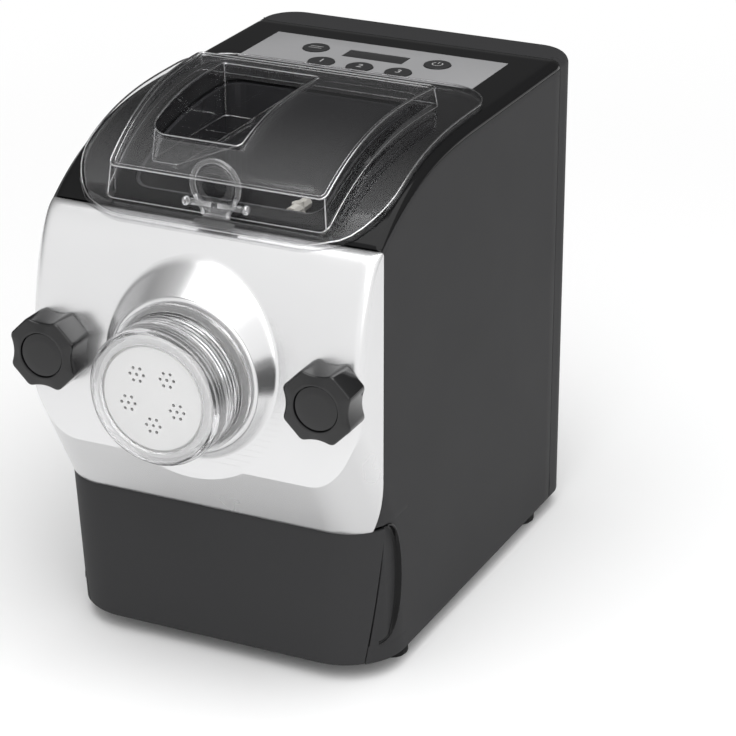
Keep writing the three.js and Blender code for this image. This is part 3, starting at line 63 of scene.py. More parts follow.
def face_y(z):
    up = np.clip((z - CREASE_Z) / (BROW_Z - CREASE_Z), 0, 1)
    return BROW_Y + (CREASE_Y - BROW_Y) * np.sqrt(1 - up * up)


def chin_y(z):
    low = TOE_Y + (CHIN_Y - TOE_Y) * (z - FOOT_Z) / (DRAWER_TOP - FOOT_Z)
    high = CHIN_Y + (CREASE_Y - CHIN_Y) * (z - DRAWER_TOP) / (CREASE_Z - DRAWER_TOP)
    return np.where(z < DRAWER_TOP, low, high)


def chin_corner(z):
    along = np.clip((z - FOOT_Z) / (DRAWER_TOP - FOOT_Z), 0, 1)
    return TOE_CORNER + (CHIN_CORNER - TOE_CORNER) * along


def outline_y(x, front, radius):
    """Where a plan outline with round front corners lies at x."""
    past = np.clip(np.abs(x) - HALF + radius, 0, radius)
    return front + radius - np.sqrt(np.maximum(radius * radius - past * past, 0))


def ray_hit(x0, y0, turn, front, radius):
    """Distance from (x0, y0) to that outline, along each direction in radians."""
    shape = np.broadcast(turn, y0, front, radius).shape
    low, high = np.zeros(shape), np.full(shape, 2.0 * HALF)
    for _ in range(36):
        middle = (low + high) / 2
        x, y = x0 + middle * np.cos(turn), y0 + middle * np.sin(turn)
        held = (x <= HALF) & (y >= outline_y(np.minimum(x, HALF), front, radius))
        low, high = np.where(held, middle, low), np.where(held, high, middle)
    return low


@contextmanager
def editing(mesh):
    """Opens a mesh for edits and writes it back."""
    work = bmesh.new()
    work.from_mesh(mesh)
    yield work
    work.to_mesh(mesh)
    work.free()


def linked(name, data):
    thing = bpy.data.objects.new(name, data)
    bpy.context.scene.collection.objects.link(thing)
    return thing


def placed(name, mesh, body, material):
    """The object of a mesh, in its material and riding its body."""
    piece = linked(name, mesh)
    mesh.materials.append(material)
    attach(piece, body)
    return piece


def mesh_object(name, patches, body, material, merge=0.01):
    """One piece from grids of points; grids that touch are merged."""
    spots, faces = [], []
    for patch in patches:
        patch = np.asarray(patch, float)
        rows, columns = patch.shape[:2]
        start = sum(len(p) for p in spots)
        spots.append(patch.reshape(-1, 3) * MM)
        for i in range(rows - 1):
            for j in range(columns - 1):
                a = start + i * columns + j
                faces.append((a, a + 1, a + 1 + columns, a + columns))
    mesh = bpy.data.meshes.new(name)
    mesh.from_pydata(np.concatenate(spots).tolist(), [], faces)
    with editing(mesh) as work:
        bmesh.ops.remove_doubles(work, verts=work.verts, dist=merge * MM)
        bmesh.ops.dissolve_degenerate(work, dist=merge * MM / 2, edges=work.edges)
        bmesh.ops.recalc_face_normals(work, faces=work.faces)
    return placed(name, mesh, body, material)


def face_outwards(piece, centre):
    """Turns an open skin's faces away from a point inside it."""
    middle = Vector(centre) * MM
    with editing(piece.data) as work:
        if sum(f.calc_area() * f.normal.dot(f.calc_center_median() - middle)
               for f in work.faces) < 0:
            bmesh.ops.reverse_faces(work, faces=work.faces)


def smooth(piece, degrees):
    """Shades a piece smooth, with sharp edges where it turns by more than an angle."""
    piece.data.polygons.foreach_set("use_smooth", [True] * len(piece.data.polygons))
    with editing(piece.data) as work:
        for edge in work.edges:
            if len(edge.link_faces) == 2 and edge.calc_face_angle(0) > math.radians(degrees):
                edge.smooth = False


def evaluated(thing):
    """A mesh of what an object becomes with its modifiers."""
    graph = bpy.context.evaluated_depsgraph_get()
    return bpy.data.meshes.new_from_object(thing.evaluated_get(graph), depsgraph=graph)


def apply_modifiers(piece):
    made = evaluated(piece)
    piece.modifiers.clear()
    piece.data = made


def thicken(piece, thickness, edge):
    """Gives a skin its wall, inwards, with a small round along its rims."""
    wall = piece.modifiers.new("wall", "SOLIDIFY")
    wall.thickness = thickness * MM
    wall.offset = -1
    bevel = piece.modifiers.new("edge", "BEVEL")
    bevel.width = edge * MM
    bevel.segments = 2
    bevel.limit_method = "ANGLE"
    bevel.angle_limit = math.radians(60)
    apply_modifiers(piece)


def mirrored(half):
    """Adds the left side to a grid whose columns run from the middle to the right side."""
    return np.concatenate([(half * [-1, 1, 1])[:, :0:-1], half], axis=1)


def points(x, y, z):
    """A grid or ring of points from arrays that fit one another."""
    return np.stack(np.broadcast_arrays(x, y, z), -1).astype(float)


def steps(count):
    return np.linspace(0, 1, count)


def wrapped(across, turn, corner_x, seam, z, front, corner):
    """Half a front in rows: flat from the middle, then round the corner to the side's seam."""
    flat_z, corner_z = z[: len(across)], z[len(across):]
    reach = ray_hit(corner_x, seam, turn, front(corner_z), corner)
    flat = points(across[:, None], front(flat_z), flat_z)
    round_part = points(corner_x + reach * np.cos(turn), seam + reach * np.sin(turn), corner_z)
    return mirrored(np.concatenate([flat, round_part]).transpose(1, 0, 2))


def finish_cover(piece, inside, wall, edge, replaced=None, cutters=(), degrees=30):
    """Gives an open skin its wall and cuts, shades it and hides the part it replaces."""
    face_outwards(piece, inside)
    thicken(piece, wall, edge)
    if cutters:
        carve(piece, cutters)
    dress(piece, replaced, degrees)


def dress(piece, replaced=None, degrees=None):
    if degrees:
        smooth(piece, degrees)
    if replaced:
        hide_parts(replaced)


def connect(tree, node, sockets):
    """Gives each socket of a node a value, or a link from another node's output."""
    for name, value in sockets.items():
        if isinstance(value, bpy.types.NodeSocket):
            tree.links.new(value, node.inputs[name])
        else:
            node.inputs[name].default_value = value


def add(tree, kind, sockets=None, output=0, **settings):
    """Adds a node and gives back one of its outputs."""
    node = tree.nodes.new("ShaderNode" + kind)
    for name, value in settings.items():
        setattr(node, name, value)
    connect(tree, node, sockets or {})
    return node.outputs[output]


def add_bump(tree, shader, height, strength, distance):
    connect(tree, shader, {"Normal": add(tree, "Bump", {
        "Height": height, "Strength": strength, "Distance": distance,
    })})


def object_place(tree):
    return add(tree, "TexCoord", output="Object")


def new_material(name):
    """A material, its node tree and its shader."""
    material = bpy.data.materials.new(name)
    material.use_nodes = True
    return material, material.node_tree, material.node_tree.nodes["Principled BSDF"]


def plastic_material(name, color, roughness, grain=0.0, grain_size=0.0004, mottle=0.04,
                     coat=0.0, shine=0.5, more=None):
    """Moulded plastic: a fine grain in its surface and faint clouds in its colour and gloss."""
    material, tree, shader = new_material(name)
    place = object_place(tree)
    clouds = add(tree, "TexNoise", {"Vector": place, "Scale": 14, "Detail": 3})
    dark, pale = ((*[min(c * share, 1) for c in color], 1) for share in (1 - mottle, 1 + mottle))
    connect(tree, shader, {
        "Base Color": add(tree, "Mix", {"Factor": clouds, "A": dark, "B": pale}, "Result",
                          data_type="RGBA"),
        "Roughness": add(tree, "MapRange", {
            "Value": clouds, "To Min": roughness * 0.9, "To Max": roughness * 1.12,
        }),
        "Specular IOR Level": shine, "Coat Weight": coat, "Coat Roughness": 0.04, **(more or {}),
    })
    if grain:
        texture = add(tree, "TexNoise", {"Vector": place, "Scale": 1 / grain_size, "Detail": 2})
        add_bump(tree, shader, texture, grain, 0.00008)
    return material


def silver_paint():
    """Silver lacquer: fine metal flakes under a clear coat, with painted shade where it faces down
    and painted light where it faces up.
    """
    material = plastic_material("silver_paint", (0.72, 0.72, 0.725), 0.26, mottle=0.03, coat=0.25,
                                more={"Metallic": 0.92})
    tree = material.node_tree
    shader = tree.nodes["Principled BSDF"]
    # Painted shade and light: the base colour is scaled down where the surface faces down and up
    # where it faces up.
    normal = add(tree, "NewGeometry", output="Normal")
    depth = add(tree, "MapRange", {
        "Value": add(tree, "SeparateXYZ", {0: normal}, "Z"),
        "From Min": -0.3, "From Max": 0.25, "To Min": 0.82, "To Max": 1.14,
    })
    tone = add(tree, "VectorMath", {
        0: shader.inputs["Base Color"].links[0].from_socket, "Scale": depth,
    }, operation="SCALE")
    connect(tree, shader, {"Base Color": tone})
    flakes = add(tree, "TexVoronoi", {"Vector": object_place(tree), "Scale": 5200}, "Distance")
    add_bump(tree, shader, flakes, 0.05, 0.00005)
    return material


def front_cover():
    across = np.linspace(0, CORNER_X, 38)
    turn = np.radians(np.linspace(-90, 0, 73)[1:])[:, None]
    seam = PANEL_Y - SEAM_GAP

    def face_reach(z):
        return ray_hit(CORNER_X, seam, turn, face_y(z), FACE_CORNER)

    def chin_reach(z):
        return ray_hit(CORNER_X, seam, turn, chin_y(z), chin_corner(z))

    lowest_crease = CREASE_Z - 10.0
    low, high = np.full_like(turn, lowest_crease), np.full_like(turn, CREASE_Z + 40.0)
    for _ in range(30):  # the crease is where the chin meets the face
        middle = (low + high) / 2
        under = chin_reach(middle) < face_reach(middle) - 1e-6
        low, high = np.where(under, middle, low), np.where(under, high, middle)
    corner_crease = np.where(low <= lowest_crease + 1e-6, lowest_crease, low)
    crease = np.concatenate([np.full((len(across), 1), float(CREASE_Z)), corner_crease])

    start = DRAWER_TOP + SEAM_GAP
    z = start + (crease - start) * steps(20)
    chin = wrapped(across, turn, CORNER_X, seam, z, chin_y, chin_corner(z[len(across):]))
    lowest = np.arcsin(np.clip((crease - CREASE_Z) / (BROW_Z - CREASE_Z), -1, 1))
    z = CREASE_Z + (BROW_Z - CREASE_Z) * np.sin(lowest + (QUARTER - lowest) * steps(56))
    face = wrapped(across, turn, CORNER_X, seam, z, face_y, FACE_CORNER)
    piece = mesh_object("front_cover_shell", [chin, face], "housing", silver)
    with editing(piece.data) as work:
        inside = []
        for cell in work.faces:
            x, y, z = cell.calc_center_median() / MM
            if y < 0 and math.hypot(x, z - AXIS_Z) < COLLAR_HOLE:
                inside.append(cell)
        bmesh.ops.delete(work, geom=inside, context="FACES")
    finish_cover(piece, (0, 0, AXIS_Z), FRONT_WALL, 0.4, "front_cover", degrees=24)


silver = silver_paint()
front_cover()

# ---- Collar
# The raised ring round the nozzle, moulded with the front cover: a cone that flows out of
# the face, a bevelled rim and a short bore that the clear nut turns in.
RIM_Y, RIM_RADIUS, BORE_RADIUS, BORE_REAR_Y = -152.5, 49, 44, -126
FLARE_BASE_Y, FLARE_RADIUS = -138, 58
FLARE_BLEND = 3.0  # how softly the cone flows into the face
SINK, SINK_RADIUS, SINK_WIDTH = 0.12, 64, 4  # the outermost rings dive under the face
RIM_PROFILE = (
    (BORE_RADIUS, BORE_REAR_Y), (BORE_RADIUS, RIM_Y + 0.6), (BORE_RADIUS + 0.18, RIM_Y + 0.18),
    (BORE_RADIUS + 0.6, RIM_Y), (RIM_RADIUS - 1.9, RIM_Y), (RIM_RADIUS - 1.2, RIM_Y + 0.16),
    (RIM_RADIUS - 0.5, RIM_Y + 0.7), (RIM_RADIUS - 0.05, RIM_Y + 1.35),
)


def ring_at(radius, turn, y, x=0, z=AXIS_Z):
    """A ring of points round an axis from front to back."""
    return points(x + radius * np.cos(turn), y, z + radius * np.sin(turn))


def collar():
    turn = np.linspace(0, 2 * np.pi, 145)
    slope = (FLARE_BASE_Y - RIM_Y) / (FLARE_RADIUS - RIM_RADIUS)

    def flare_y(radius, z):
        cone = RIM_Y + (radius - RIM_RADIUS) * slope
        face = face_y(z)
        mix = np.clip(0.5 + 0.5 * (face - cone) / FLARE_BLEND, 0, 1)
        met = face * (1 - mix) + cone * mix - FLARE_BLEND * mix * (1 - mix)
        return met + SINK * np.clip((radius - SINK_RADIUS) / SINK_WIDTH, 0, 1)

    rows = [ring_at(radius, turn, y) for radius, y in RIM_PROFILE]
    for radius in np.concatenate([np.linspace(RIM_RADIUS + 0.4, 62, 30), [63, 64, 66, 68]]):
        rows.append(ring_at(radius, turn, flare_y(radius, AXIS_Z + radius * np.sin(turn))))
    piece = mesh_object("collar", [np.array(rows)], "housing", silver)
    dress(piece, degrees=50)


collar()

# ---- Side panels
# Two flat panels of satin black plastic. Each wraps round its lower front corner to the
# drawer's seam and has a D-shaped recess there for the fingers that pull the drawer.
CROWN_Z = 322
BEND_Y = 32  # the crown bends down in front of this
SEAM_Y = 155  # the rear cover starts here
CASING_WALL = 2.6
RECESS_LOW, RECESS_HIGH, RECESS_REAR_Y, RECESS_DEPTH = 24, 107, -84, 3.4
RECESS_MIDDLE, RECESS_HALF = (RECESS_LOW + RECESS_HIGH) / 2, (RECESS_HIGH - RECESS_LOW) / 2
DRAWER_SEAM_TOE_Y, DRAWER_SEAM_TOP_Y = -108, -102
WRAP_Y = -76  # the panel is flat behind this
PANEL_TOP_Z = 262  # and its rows are level below this
PANEL_DROP, BROW_DROP = 6, 2  # from the crown to the panel's top edge, behind and in front
FLOOR_GAP, FLOOR_WALL, RIM_INSET = 0.4, 1.6, 1.9
RECESS_LIP = ((-0.1, 0.1), (0.15, 0.4), (0.7, 0.5), (1.2, 0.3), (1.5, -0.2))  # inset, out
RECESS_FOOT = ((1.5, 1.2), (RIM_INSET, 0.4), (2.6, 0))  # inset, up from the recess's floor


def crown_z(y):
    along = np.clip((BEND_Y - y) / (BEND_Y - BROW_Y), 0, 1)
    return CROWN_Z - (CROWN_Z - BROW_Z) * along**3


def drawer_seam(z):
    along = (z - FOOT_Z) / (DRAWER_TOP - FOOT_Z)
    return DRAWER_SEAM_TOE_Y + (DRAWER_SEAM_TOP_Y - DRAWER_SEAM_TOE_Y) * along


def panel_top_z(y):
    along = np.clip((BEND_Y - y) / (BEND_Y - BROW_Y), 0, 1)
    return crown_z(y) - (PANEL_DROP + (BROW_DROP - PANEL_DROP) * along**2)


def side_x(y, z):
    radius = chin_corner(z)
    past = np.clip(chin_y(z) + radius - y, 0, radius)
    return HALF - radius + np.sqrt(np.maximum(radius**2 - past**2, 0))


def recess_curve(turn, inset=0.0):
    depth = RECESS_REAR_Y - DRAWER_SEAM_TOP_Y - inset
    return (DRAWER_SEAM_TOP_Y + depth * np.cos(turn),
            RECESS_MIDDLE + (RECESS_HALF - inset) * np.sin(turn))


satin = plastic_material("satin_black_plastic", (0.033, 0.033, 0.034), 0.55, grain=0.35,
                         mottle=0.05, shine=0.08)
# The recess wall's gloss is its own; its near-black base, far darker than the panel, is painted
# shade for the shadow inside the recess.
recess_shaded_gloss = plastic_material("recess_painted_shade_black", (0.004, 0.004, 0.0042), 0.16, mottle=0.05,
                                shine=0.16)


def side_panel(hand, side):
    bend = steps(24)
    flat = WRAP_Y + (SEAM_Y - SEAM_GAP - WRAP_Y) * steps(30)[1:]

    def rows(z, start):
        y = np.concatenate([start + (WRAP_Y - start) * bend[:, None], flat[:, None] + 0 * start])
        return points(side * side_x(y, z), y, z).transpose(1, 0, 2)

    low = np.linspace(FOOT_Z, RECESS_LOW, 5)
    curve_y, curve_z = recess_curve(np.linspace(-QUARTER, QUARTER, 41))
    high = np.linspace(RECESS_HIGH, PANEL_TOP_Z, 40)
    straight = np.full_like(high, PANEL_Y)
    upper_y = np.concatenate([PANEL_Y + (WRAP_Y - PANEL_Y) * bend, flat])
    upper_z = PANEL_TOP_Z + (panel_top_z(upper_y) - PANEL_TOP_Z) * steps(14)[:, None]
    top = points(side * side_x(upper_y, upper_z), upper_y, upper_z)
    piece = mesh_object(f"side_panel_{hand}_shell", [
        rows(low, drawer_seam(low)), rows(curve_z, curve_y), rows(high, straight), top,
    ], "housing", satin)
    finish_cover(piece, (0, 0, 150), CASING_WALL, 0.5, f"side_panel_{hand}")


def recess(hand, side):
    turn = np.linspace(-QUARTER, QUARTER, 61)
    floor_x = HALF - RECESS_DEPTH
    outer_x = side_x(*recess_curve(turn, -0.1))
    ring = []
    for inset, out in RECESS_LIP:
        y, z = recess_curve(turn, inset)
        ring.append(points(side * (outer_x + out), y, z))
    for inset, up in RECESS_FOOT:
        y, z = recess_curve(turn, inset)
        ring.append(points(side * np.minimum(floor_x + up, side_x(y, z)), y, z))
    wall = mesh_object(f"recess_wall_{hand}", [np.array(ring)], "housing", recess_shaded_gloss)
    dress(wall, degrees=50)

    z = np.linspace(RECESS_LOW - 0.4, RECESS_HIGH - 2.6, 50)[:, None]
    bow = np.sqrt(np.clip(1 - ((z - RECESS_MIDDLE) / RECESS_HALF) ** 2, 0, 1))
    front = drawer_seam(z) + FLOOR_GAP
    rear = DRAWER_SEAM_TOP_Y + (RECESS_REAR_Y - DRAWER_SEAM_TOP_Y - RIM_INSET) * bow
    y = front + (rear - front) * steps(12)
    grid = points(side * np.minimum(floor_x, side_x(y, z)), y, z)
    floor = mesh_object(f"recess_floor_{hand}", [grid], "housing", satin)
    finish_cover(floor, (0, -60, 65), FLOOR_WALL, 0.4, degrees=40)


for hand, side in (("left", -1), ("right", 1)):
    side_panel(hand, side)
    recess(hand, side)

# ---- Rear cover
# A deep black tray that closes the back, with round corners, a row of air slots
# over the motor and the power inlet low on one side.
REAR_Y, REAR_CORNER, REAR_EDGE, SIDE_EDGE = 190, 26, 9, 6
VENTS, VENT_PITCH, VENT_HEIGHT, VENT_LOW_Z, VENT_HALF = 9, 9, 4, 190, 45
INLET_X, INLET_Z, INLET_WIDTH, INLET_HEIGHT = 60, 48, 28, 20
CUT_IN, CUT_OUT = 8, 4  # how far the cuts reach on both sides of the rear wall


def block_cutter(x_ends, y_ends, z_ends, round_edge=0.0):
    work = bmesh.new()
    bmesh.ops.create_cube(work, size=1)
    for v in work.verts:
        v.co = Vector([ends[c > 0] for c, ends in zip(v.co, (x_ends, y_ends, z_ends))]) * MM
    if round_edge:
        along_y = [e for e in work.edges
                   if abs((e.verts[0].co - e.verts[1].co).normalized().y) > 0.9]
        bmesh.ops.bevel(work, geom=along_y, offset=round_edge * MM, segments=6, profile=0.5,
                        affect="EDGES")
    return work


def carve(piece, cutters):
    """Cuts closed shapes out of a piece."""
    joined = bpy.data.meshes.new("cutter")
    whole = bmesh.new()
    for cutter in cutters:
        part = bpy.data.meshes.new("part")
        cutter.to_mesh(part)
        whole.from_mesh(part)
        cutter.free()
        bpy.data.meshes.remove(part)
    whole.to_mesh(joined)
    whole.free()
    tool = linked("cutter", joined)
    cut = piece.modifiers.new("cut", "BOOLEAN")
    cut.object = tool
    cut.operation = "DIFFERENCE"
    cut.solver = "EXACT"
    apply_modifiers(piece)
    bpy.data.objects.remove(tool)
    bpy.data.meshes.remove(joined)


def rear_cover():
    seam = SEAM_Y + SEAM_GAP
    across = np.linspace(0, HALF - REAR_CORNER, 22)[:-1]
    turn = np.radians(np.linspace(90, 0, 25))
    side_y = np.linspace(REAR_Y - REAR_CORNER, seam, 8)[1:]
    counts = [len(across), len(turn), len(side_y)]
    rounding = np.linspace(REAR_EDGE, SIDE_EDGE, counts[1])
    edge = np.concatenate([np.full(counts[0], REAR_EDGE), rounding, np.full(counts[2], SIDE_EDGE)])

    def row(inset, z):
        """Half the outline, from the middle of the back to the side's seam."""
        back, arc, side = np.split(inset, np.cumsum(counts)[:2])
        radius = REAR_CORNER - arc
        x = np.concatenate([across, HALF - REAR_CORNER + radius * np.cos(turn), HALF - side])
        y = np.concatenate([REAR_Y - back, REAR_Y - REAR_CORNER + radius * np.sin(turn), side_y])
        return points(x, y, z)

    rows = [row(edge * 0, FOOT_Z + (CROWN_Z - edge - FOOT_Z) * share) for share in steps(30)]
    for turned in np.radians(np.linspace(0, 90, 10)[1:]):
        rows.append(row(edge * (1 - math.cos(turned)), CROWN_Z - edge + edge * math.sin(turned)))
    last = rows[-1]
    for share in steps(8)[1:]:
        flat = last.copy()
        flat[:, 1] = last[:, 1] + (seam - last[:, 1]) * share
        rows.append(flat)
    piece = mesh_object("rear_cover_shell", [mirrored(np.array(rows))], "housing", satin)
    wall = (REAR_Y - CUT_IN, REAR_Y + CUT_OUT)
    cuts = []
    for i in range(VENTS):
        low = VENT_LOW_Z + i * VENT_PITCH
        cuts.append(block_cutter((-VENT_HALF, VENT_HALF), wall, (low, low + VENT_HEIGHT)))
    cuts.append(block_cutter((INLET_X - INLET_WIDTH / 2, INLET_X + INLET_WIDTH / 2), wall,
                             (INLET_Z - INLET_HEIGHT / 2, INLET_Z + INLET_HEIGHT / 2), 3))
    finish_cover(piece, (0, SEAM_Y, 150), CASING_WALL, 0.5, "rear_cover", cuts)


rear_cover()

# ---- Top cover
# A gloss black lid for the body: it follows the crown, turns down over the sides as a narrow
# band and carries the bowl's mouth. The bright streaks in the photo are reflections on it.
BOWL_OUTER, BOWL_FRONT_Y, BOWL_BACK_Y, BOWL_CORNER = 64.5, -97, 34, 12
MOUTH_GAP, MOUTH_LOW_Z, MOUTH_HEIGHT = 0.3, 200, 160
TOP_WALL = 2.4

gloss = plastic_material("gloss_black_plastic", (0.005, 0.005, 0.0053), 0.08, mottle=0.06,
                         shine=0.15)


def bowl_mouth():
    """The cutter for the mouth: a tall block with round corners."""
    mouth = bmesh.new()
    turn = np.radians(np.concatenate([np.linspace(q, q + 90, 9) for q in (0, 90, 180, 270)]))
    signs = np.repeat([[1, 1], [-1, 1], [-1, -1], [1, -1]], 9, axis=0)
    half_y, radius = (BOWL_BACK_Y - BOWL_FRONT_Y) / 2, BOWL_CORNER + MOUTH_GAP
    x = signs[:, 0] * (BOWL_OUTER - BOWL_CORNER) + radius * np.cos(turn)
    y = (BOWL_FRONT_Y + BOWL_BACK_Y) / 2 + signs[:, 1] * (half_y - BOWL_CORNER)
    y = y + radius * np.sin(turn)
    bottom = [mouth.verts.new(Vector((a, b, MOUTH_LOW_Z)) * MM) for a, b in zip(x, y)]
    lifted = bmesh.ops.extrude_face_region(mouth, geom=[mouth.faces.new(bottom)])
    bmesh.ops.translate(mouth, vec=Vector((0, 0, MOUTH_HEIGHT)) * MM,
                        verts=[v for v in lifted["geom"] if isinstance(v, bmesh.types.BMVert)])
    bmesh.ops.recalc_face_normals(mouth, faces=mouth.faces)
    return mouth


def top_cover():
    y = np.concatenate([np.linspace(PANEL_Y, BEND_Y, 60),
                        np.linspace(BEND_Y, SEAM_Y - SEAM_GAP, 22)[1:]])
    crown, low = crown_z(y), panel_top_z(y) + SEAM_GAP
    edge, middle_x = SIDE_EDGE, HALF - SIDE_EDGE
    rows = []
    for share in (0, 0.5):
        z = low + (np.maximum(crown - edge, low) - low) * share
        turned_in = np.clip(z - (crown - edge), 0, edge)
        rows.append(points(middle_x + np.sqrt(edge**2 - turned_in**2), y, z))
    start = np.arcsin(np.clip((low - (crown - edge)) / edge, 0, 1))
    for share in steps(10):
        turn = start + (QUARTER - start) * share
        rows.append(ring_at(edge, turn, y, middle_x, crown - edge))
    rows += [points(x, y, crown) for x in np.linspace(middle_x, 0, 26)[1:]]
    half = np.array(rows)[::-1].transpose(1, 0, 2)
    piece = mesh_object("top_cover_shell", [mirrored(half)], "housing", gloss)
    finish_cover(piece, (0, 30, 200), TOP_WALL, 0.4, "top_cover", [bowl_mouth()])


top_cover()

# ---- Drawer front
# The curved foot of the front: it pulls straight forward with the tray behind it, and is
# held by the fingers in the two side recesses.
DRAWER_CORNER_X = 69

drawer_black = plastic_material("drawer_black_plastic", (0.033, 0.033, 0.034), 0.55, grain=0.35,
                                mottle=0.05, shine=0.1)


def drawer_front():
    across = np.linspace(0, DRAWER_CORNER_X, 28)
    turn = np.radians(np.linspace(-90, 0, 46)[1:])[:, None]
    z = np.linspace(FOOT_Z, DRAWER_TOP, 34)
    rows = wrapped(across, turn, DRAWER_CORNER_X, drawer_seam(z) - SEAM_GAP,
                   np.tile(z, (len(across) + len(turn), 1)), chin_y, chin_corner(z))
    piece = mesh_object("drawer_front_shell", [rows], "drawer", drawer_black)
    finish_cover(piece, (0, 0, 60), CASING_WALL, 0.6, "drawer_front")


drawer_front()

# ---- Control panel
# A grey printed foil let into the crown, with a dark display window and five round dark
# buttons that stand a millimetre proud and click straight down. Their signs are printed.
FOIL_HALF, FOIL_FRONT_Y, FOIL_REAR_Y = 82, 76, 134
FOIL_LOW_Z, FOIL_TOP_Z = CROWN_Z - 0.7, CROWN_Z + 0.3
DISPLAY_HALF, DISPLAY_FRONT_Y, DISPLAY_REAR_Y = 21, 103.5, 118
DISPLAY_LOW_Z, DISPLAY_TOP_Z = CROWN_Z - 0.6, CROWN_Z + 0.15
BUTTON_RADIUS, BUTTON_TOP, BUTTON_ROOT = 8.7, CROWN_Z + 1.2, CROWN_Z - 3
BUTTON_DISH = 0.18  # depth of the shallow dish in a button's top
BUTTON_PROFILE = (
    (0, BUTTON_ROOT), (BUTTON_RADIUS, BUTTON_ROOT), (BUTTON_RADIUS, BUTTON_TOP),
    (BUTTON_RADIUS - 0.9, BUTTON_TOP), (BUTTON_RADIUS - 1.2, BUTTON_TOP - BUTTON_DISH),
    (0, BUTTON_TOP),
)
BUTTONS = (("button_manual", -43, 111), ("button_power", 43, 111), ("button_program_1", -27, 86),
           ("button_program_2", 0, 86), ("button_program_3", 27, 86))
PANEL_GAP = 0.3  # round the display and the buttons
CUT_DEPTH = 3
INK_Z = BUTTON_TOP + 0.05
DIGIT_SIZE, DIGIT_SHIFT, INK_THICKNESS = 8.5, 0.5, 0.04


def soften(outline, radius, count=5):
    """Rounds the corners of an open outline of (radius, along) points."""
    outline = [np.asarray(p, float) for p in outline]
    out = [outline[0]]
    for before, corner, after in zip(outline, outline[1:], outline[2:]):
        back, ahead = before - corner, after - corner
        long_back, long_ahead = np.linalg.norm(back), np.linalg.norm(ahead)
        reach = min(radius, long_back * 0.45, long_ahead * 0.45)
        start, end = corner + back / long_back * reach, corner + ahead / long_ahead * reach
        for t in steps(count):
            out.append(start * (1 - t) ** 2 + corner * 2 * t * (1 - t) + end * t**2)
    return [*out, outline[-1]]


def lathe(name, profile, centre, axis, body, material, around=96):
    """Turns an outline of (radius, along) points round an axis through a centre."""
    turn = np.linspace(0, 2 * np.pi, around + 1)
    rows = []
    for radius, along in profile:
        a, b = radius * np.cos(turn), radius * np.sin(turn)
        rows.append((points(a, along, b) if axis == "y" else points(a, b, along)) + centre)
    piece = mesh_object(name, [np.array(rows)], body, material, merge=0.002)
    smooth(piece, 38)
    return piece


def round_cutter(radius, depth, centre, axis="z", segments=64):
    hole = bmesh.new()
    bmesh.ops.create_cone(hole, cap_ends=True, segments=segments, radius1=radius * MM,
                          radius2=radius * MM, depth=depth * MM)
    if axis == "y":
        bmesh.ops.rotate(hole, verts=hole.verts, cent=(0, 0, 0),
                         matrix=Matrix.Rotation(math.pi / 2, 3, "X"))
    bmesh.ops.translate(hole, verts=hole.verts, vec=Vector(centre) * MM)
    return hole


def block_object(name, x_ends, y_ends, z_ends, edge, body, material):
    """A block with small rounded edges."""
    work = block_cutter(x_ends, y_ends, z_ends)
    mesh = bpy.data.meshes.new(name)
    bmesh.ops.bevel(work, geom=work.edges[:], offset=edge * MM, segments=3, profile=0.5,
                    affect="EDGES")
    bmesh.ops.recalc_face_normals(work, faces=work.faces)
    work.to_mesh(mesh)
    work.free()
    piece = placed(name, mesh, body, material)
    smooth(piece, 50)
    return piece


def foil():
    piece = block_object("foil", (-FOIL_HALF, FOIL_HALF), (FOIL_FRONT_Y, FOIL_REAR_Y),
                         (FOIL_LOW_Z, FOIL_TOP_Z), 0.2, "housing", grey_foil)
    half = DISPLAY_HALF + PANEL_GAP
    holes = [block_cutter((-half, half), (DISPLAY_FRONT_Y - PANEL_GAP, DISPLAY_REAR_Y + PANEL_GAP),
                          (CROWN_Z - CUT_DEPTH, CROWN_Z + CUT_DEPTH))]
    for _, x, y in BUTTONS:
        holes.append(round_cutter(BUTTON_RADIUS + PANEL_GAP, 2 * CUT_DEPTH, (x, y, CROWN_Z)))
    carve(piece, holes)
    dress(piece, "panel_foil", 30)


def display():
    piece = block_object("display_glass", (-DISPLAY_HALF, DISPLAY_HALF),
                         (DISPLAY_FRONT_Y, DISPLAY_REAR_Y), (DISPLAY_LOW_Z, DISPLAY_TOP_Z), 0.25,
                         "housing", display_glass)
    dress(piece, "display_window")


def button(name, x, y):
    cap = lathe(f"{name}_cap", soften(BUTTON_PROFILE, 0.4), (x, y, 0), "z", name, button_dark, 64)
    dress(cap, name)


def printed(name, patches, body):
    """Flat printed lines on a button, a hair above it."""
    dress(mesh_object(name, patches, body, button_ink))


def bar(x, y, half_x, half_y):
    return [[(x + a, y + b, INK_Z) for a in (-half_x, half_x)] for b in (-half_y, half_y)]


def ribbon(x, y, radius, start, end, width):
    turn = np.radians(np.linspace(start, end, 41))
    return [[(x + r * math.cos(t), y + r * math.sin(t), INK_Z) for t in turn]
            for r in (radius - width / 2, radius + width / 2)]


def digit(text, x, y, body):
    curve = bpy.data.curves.new(f"digit_{text}", "FONT")
    curve.body = text
    curve.size = DIGIT_SIZE * MM
    curve.align_x, curve.align_y = "CENTER", "CENTER"
    curve.resolution_u = 6
    curve.extrude = INK_THICKNESS * MM
    shape = linked("digit", curve)
    mesh = evaluated(shape)
    bpy.data.objects.remove(shape)
    mesh.transform(Matrix.Translation(Vector((x, y, INK_Z)) * MM))
    mesh.materials.clear()
    dress(placed(f"digit_{text}", mesh, body, button_ink))


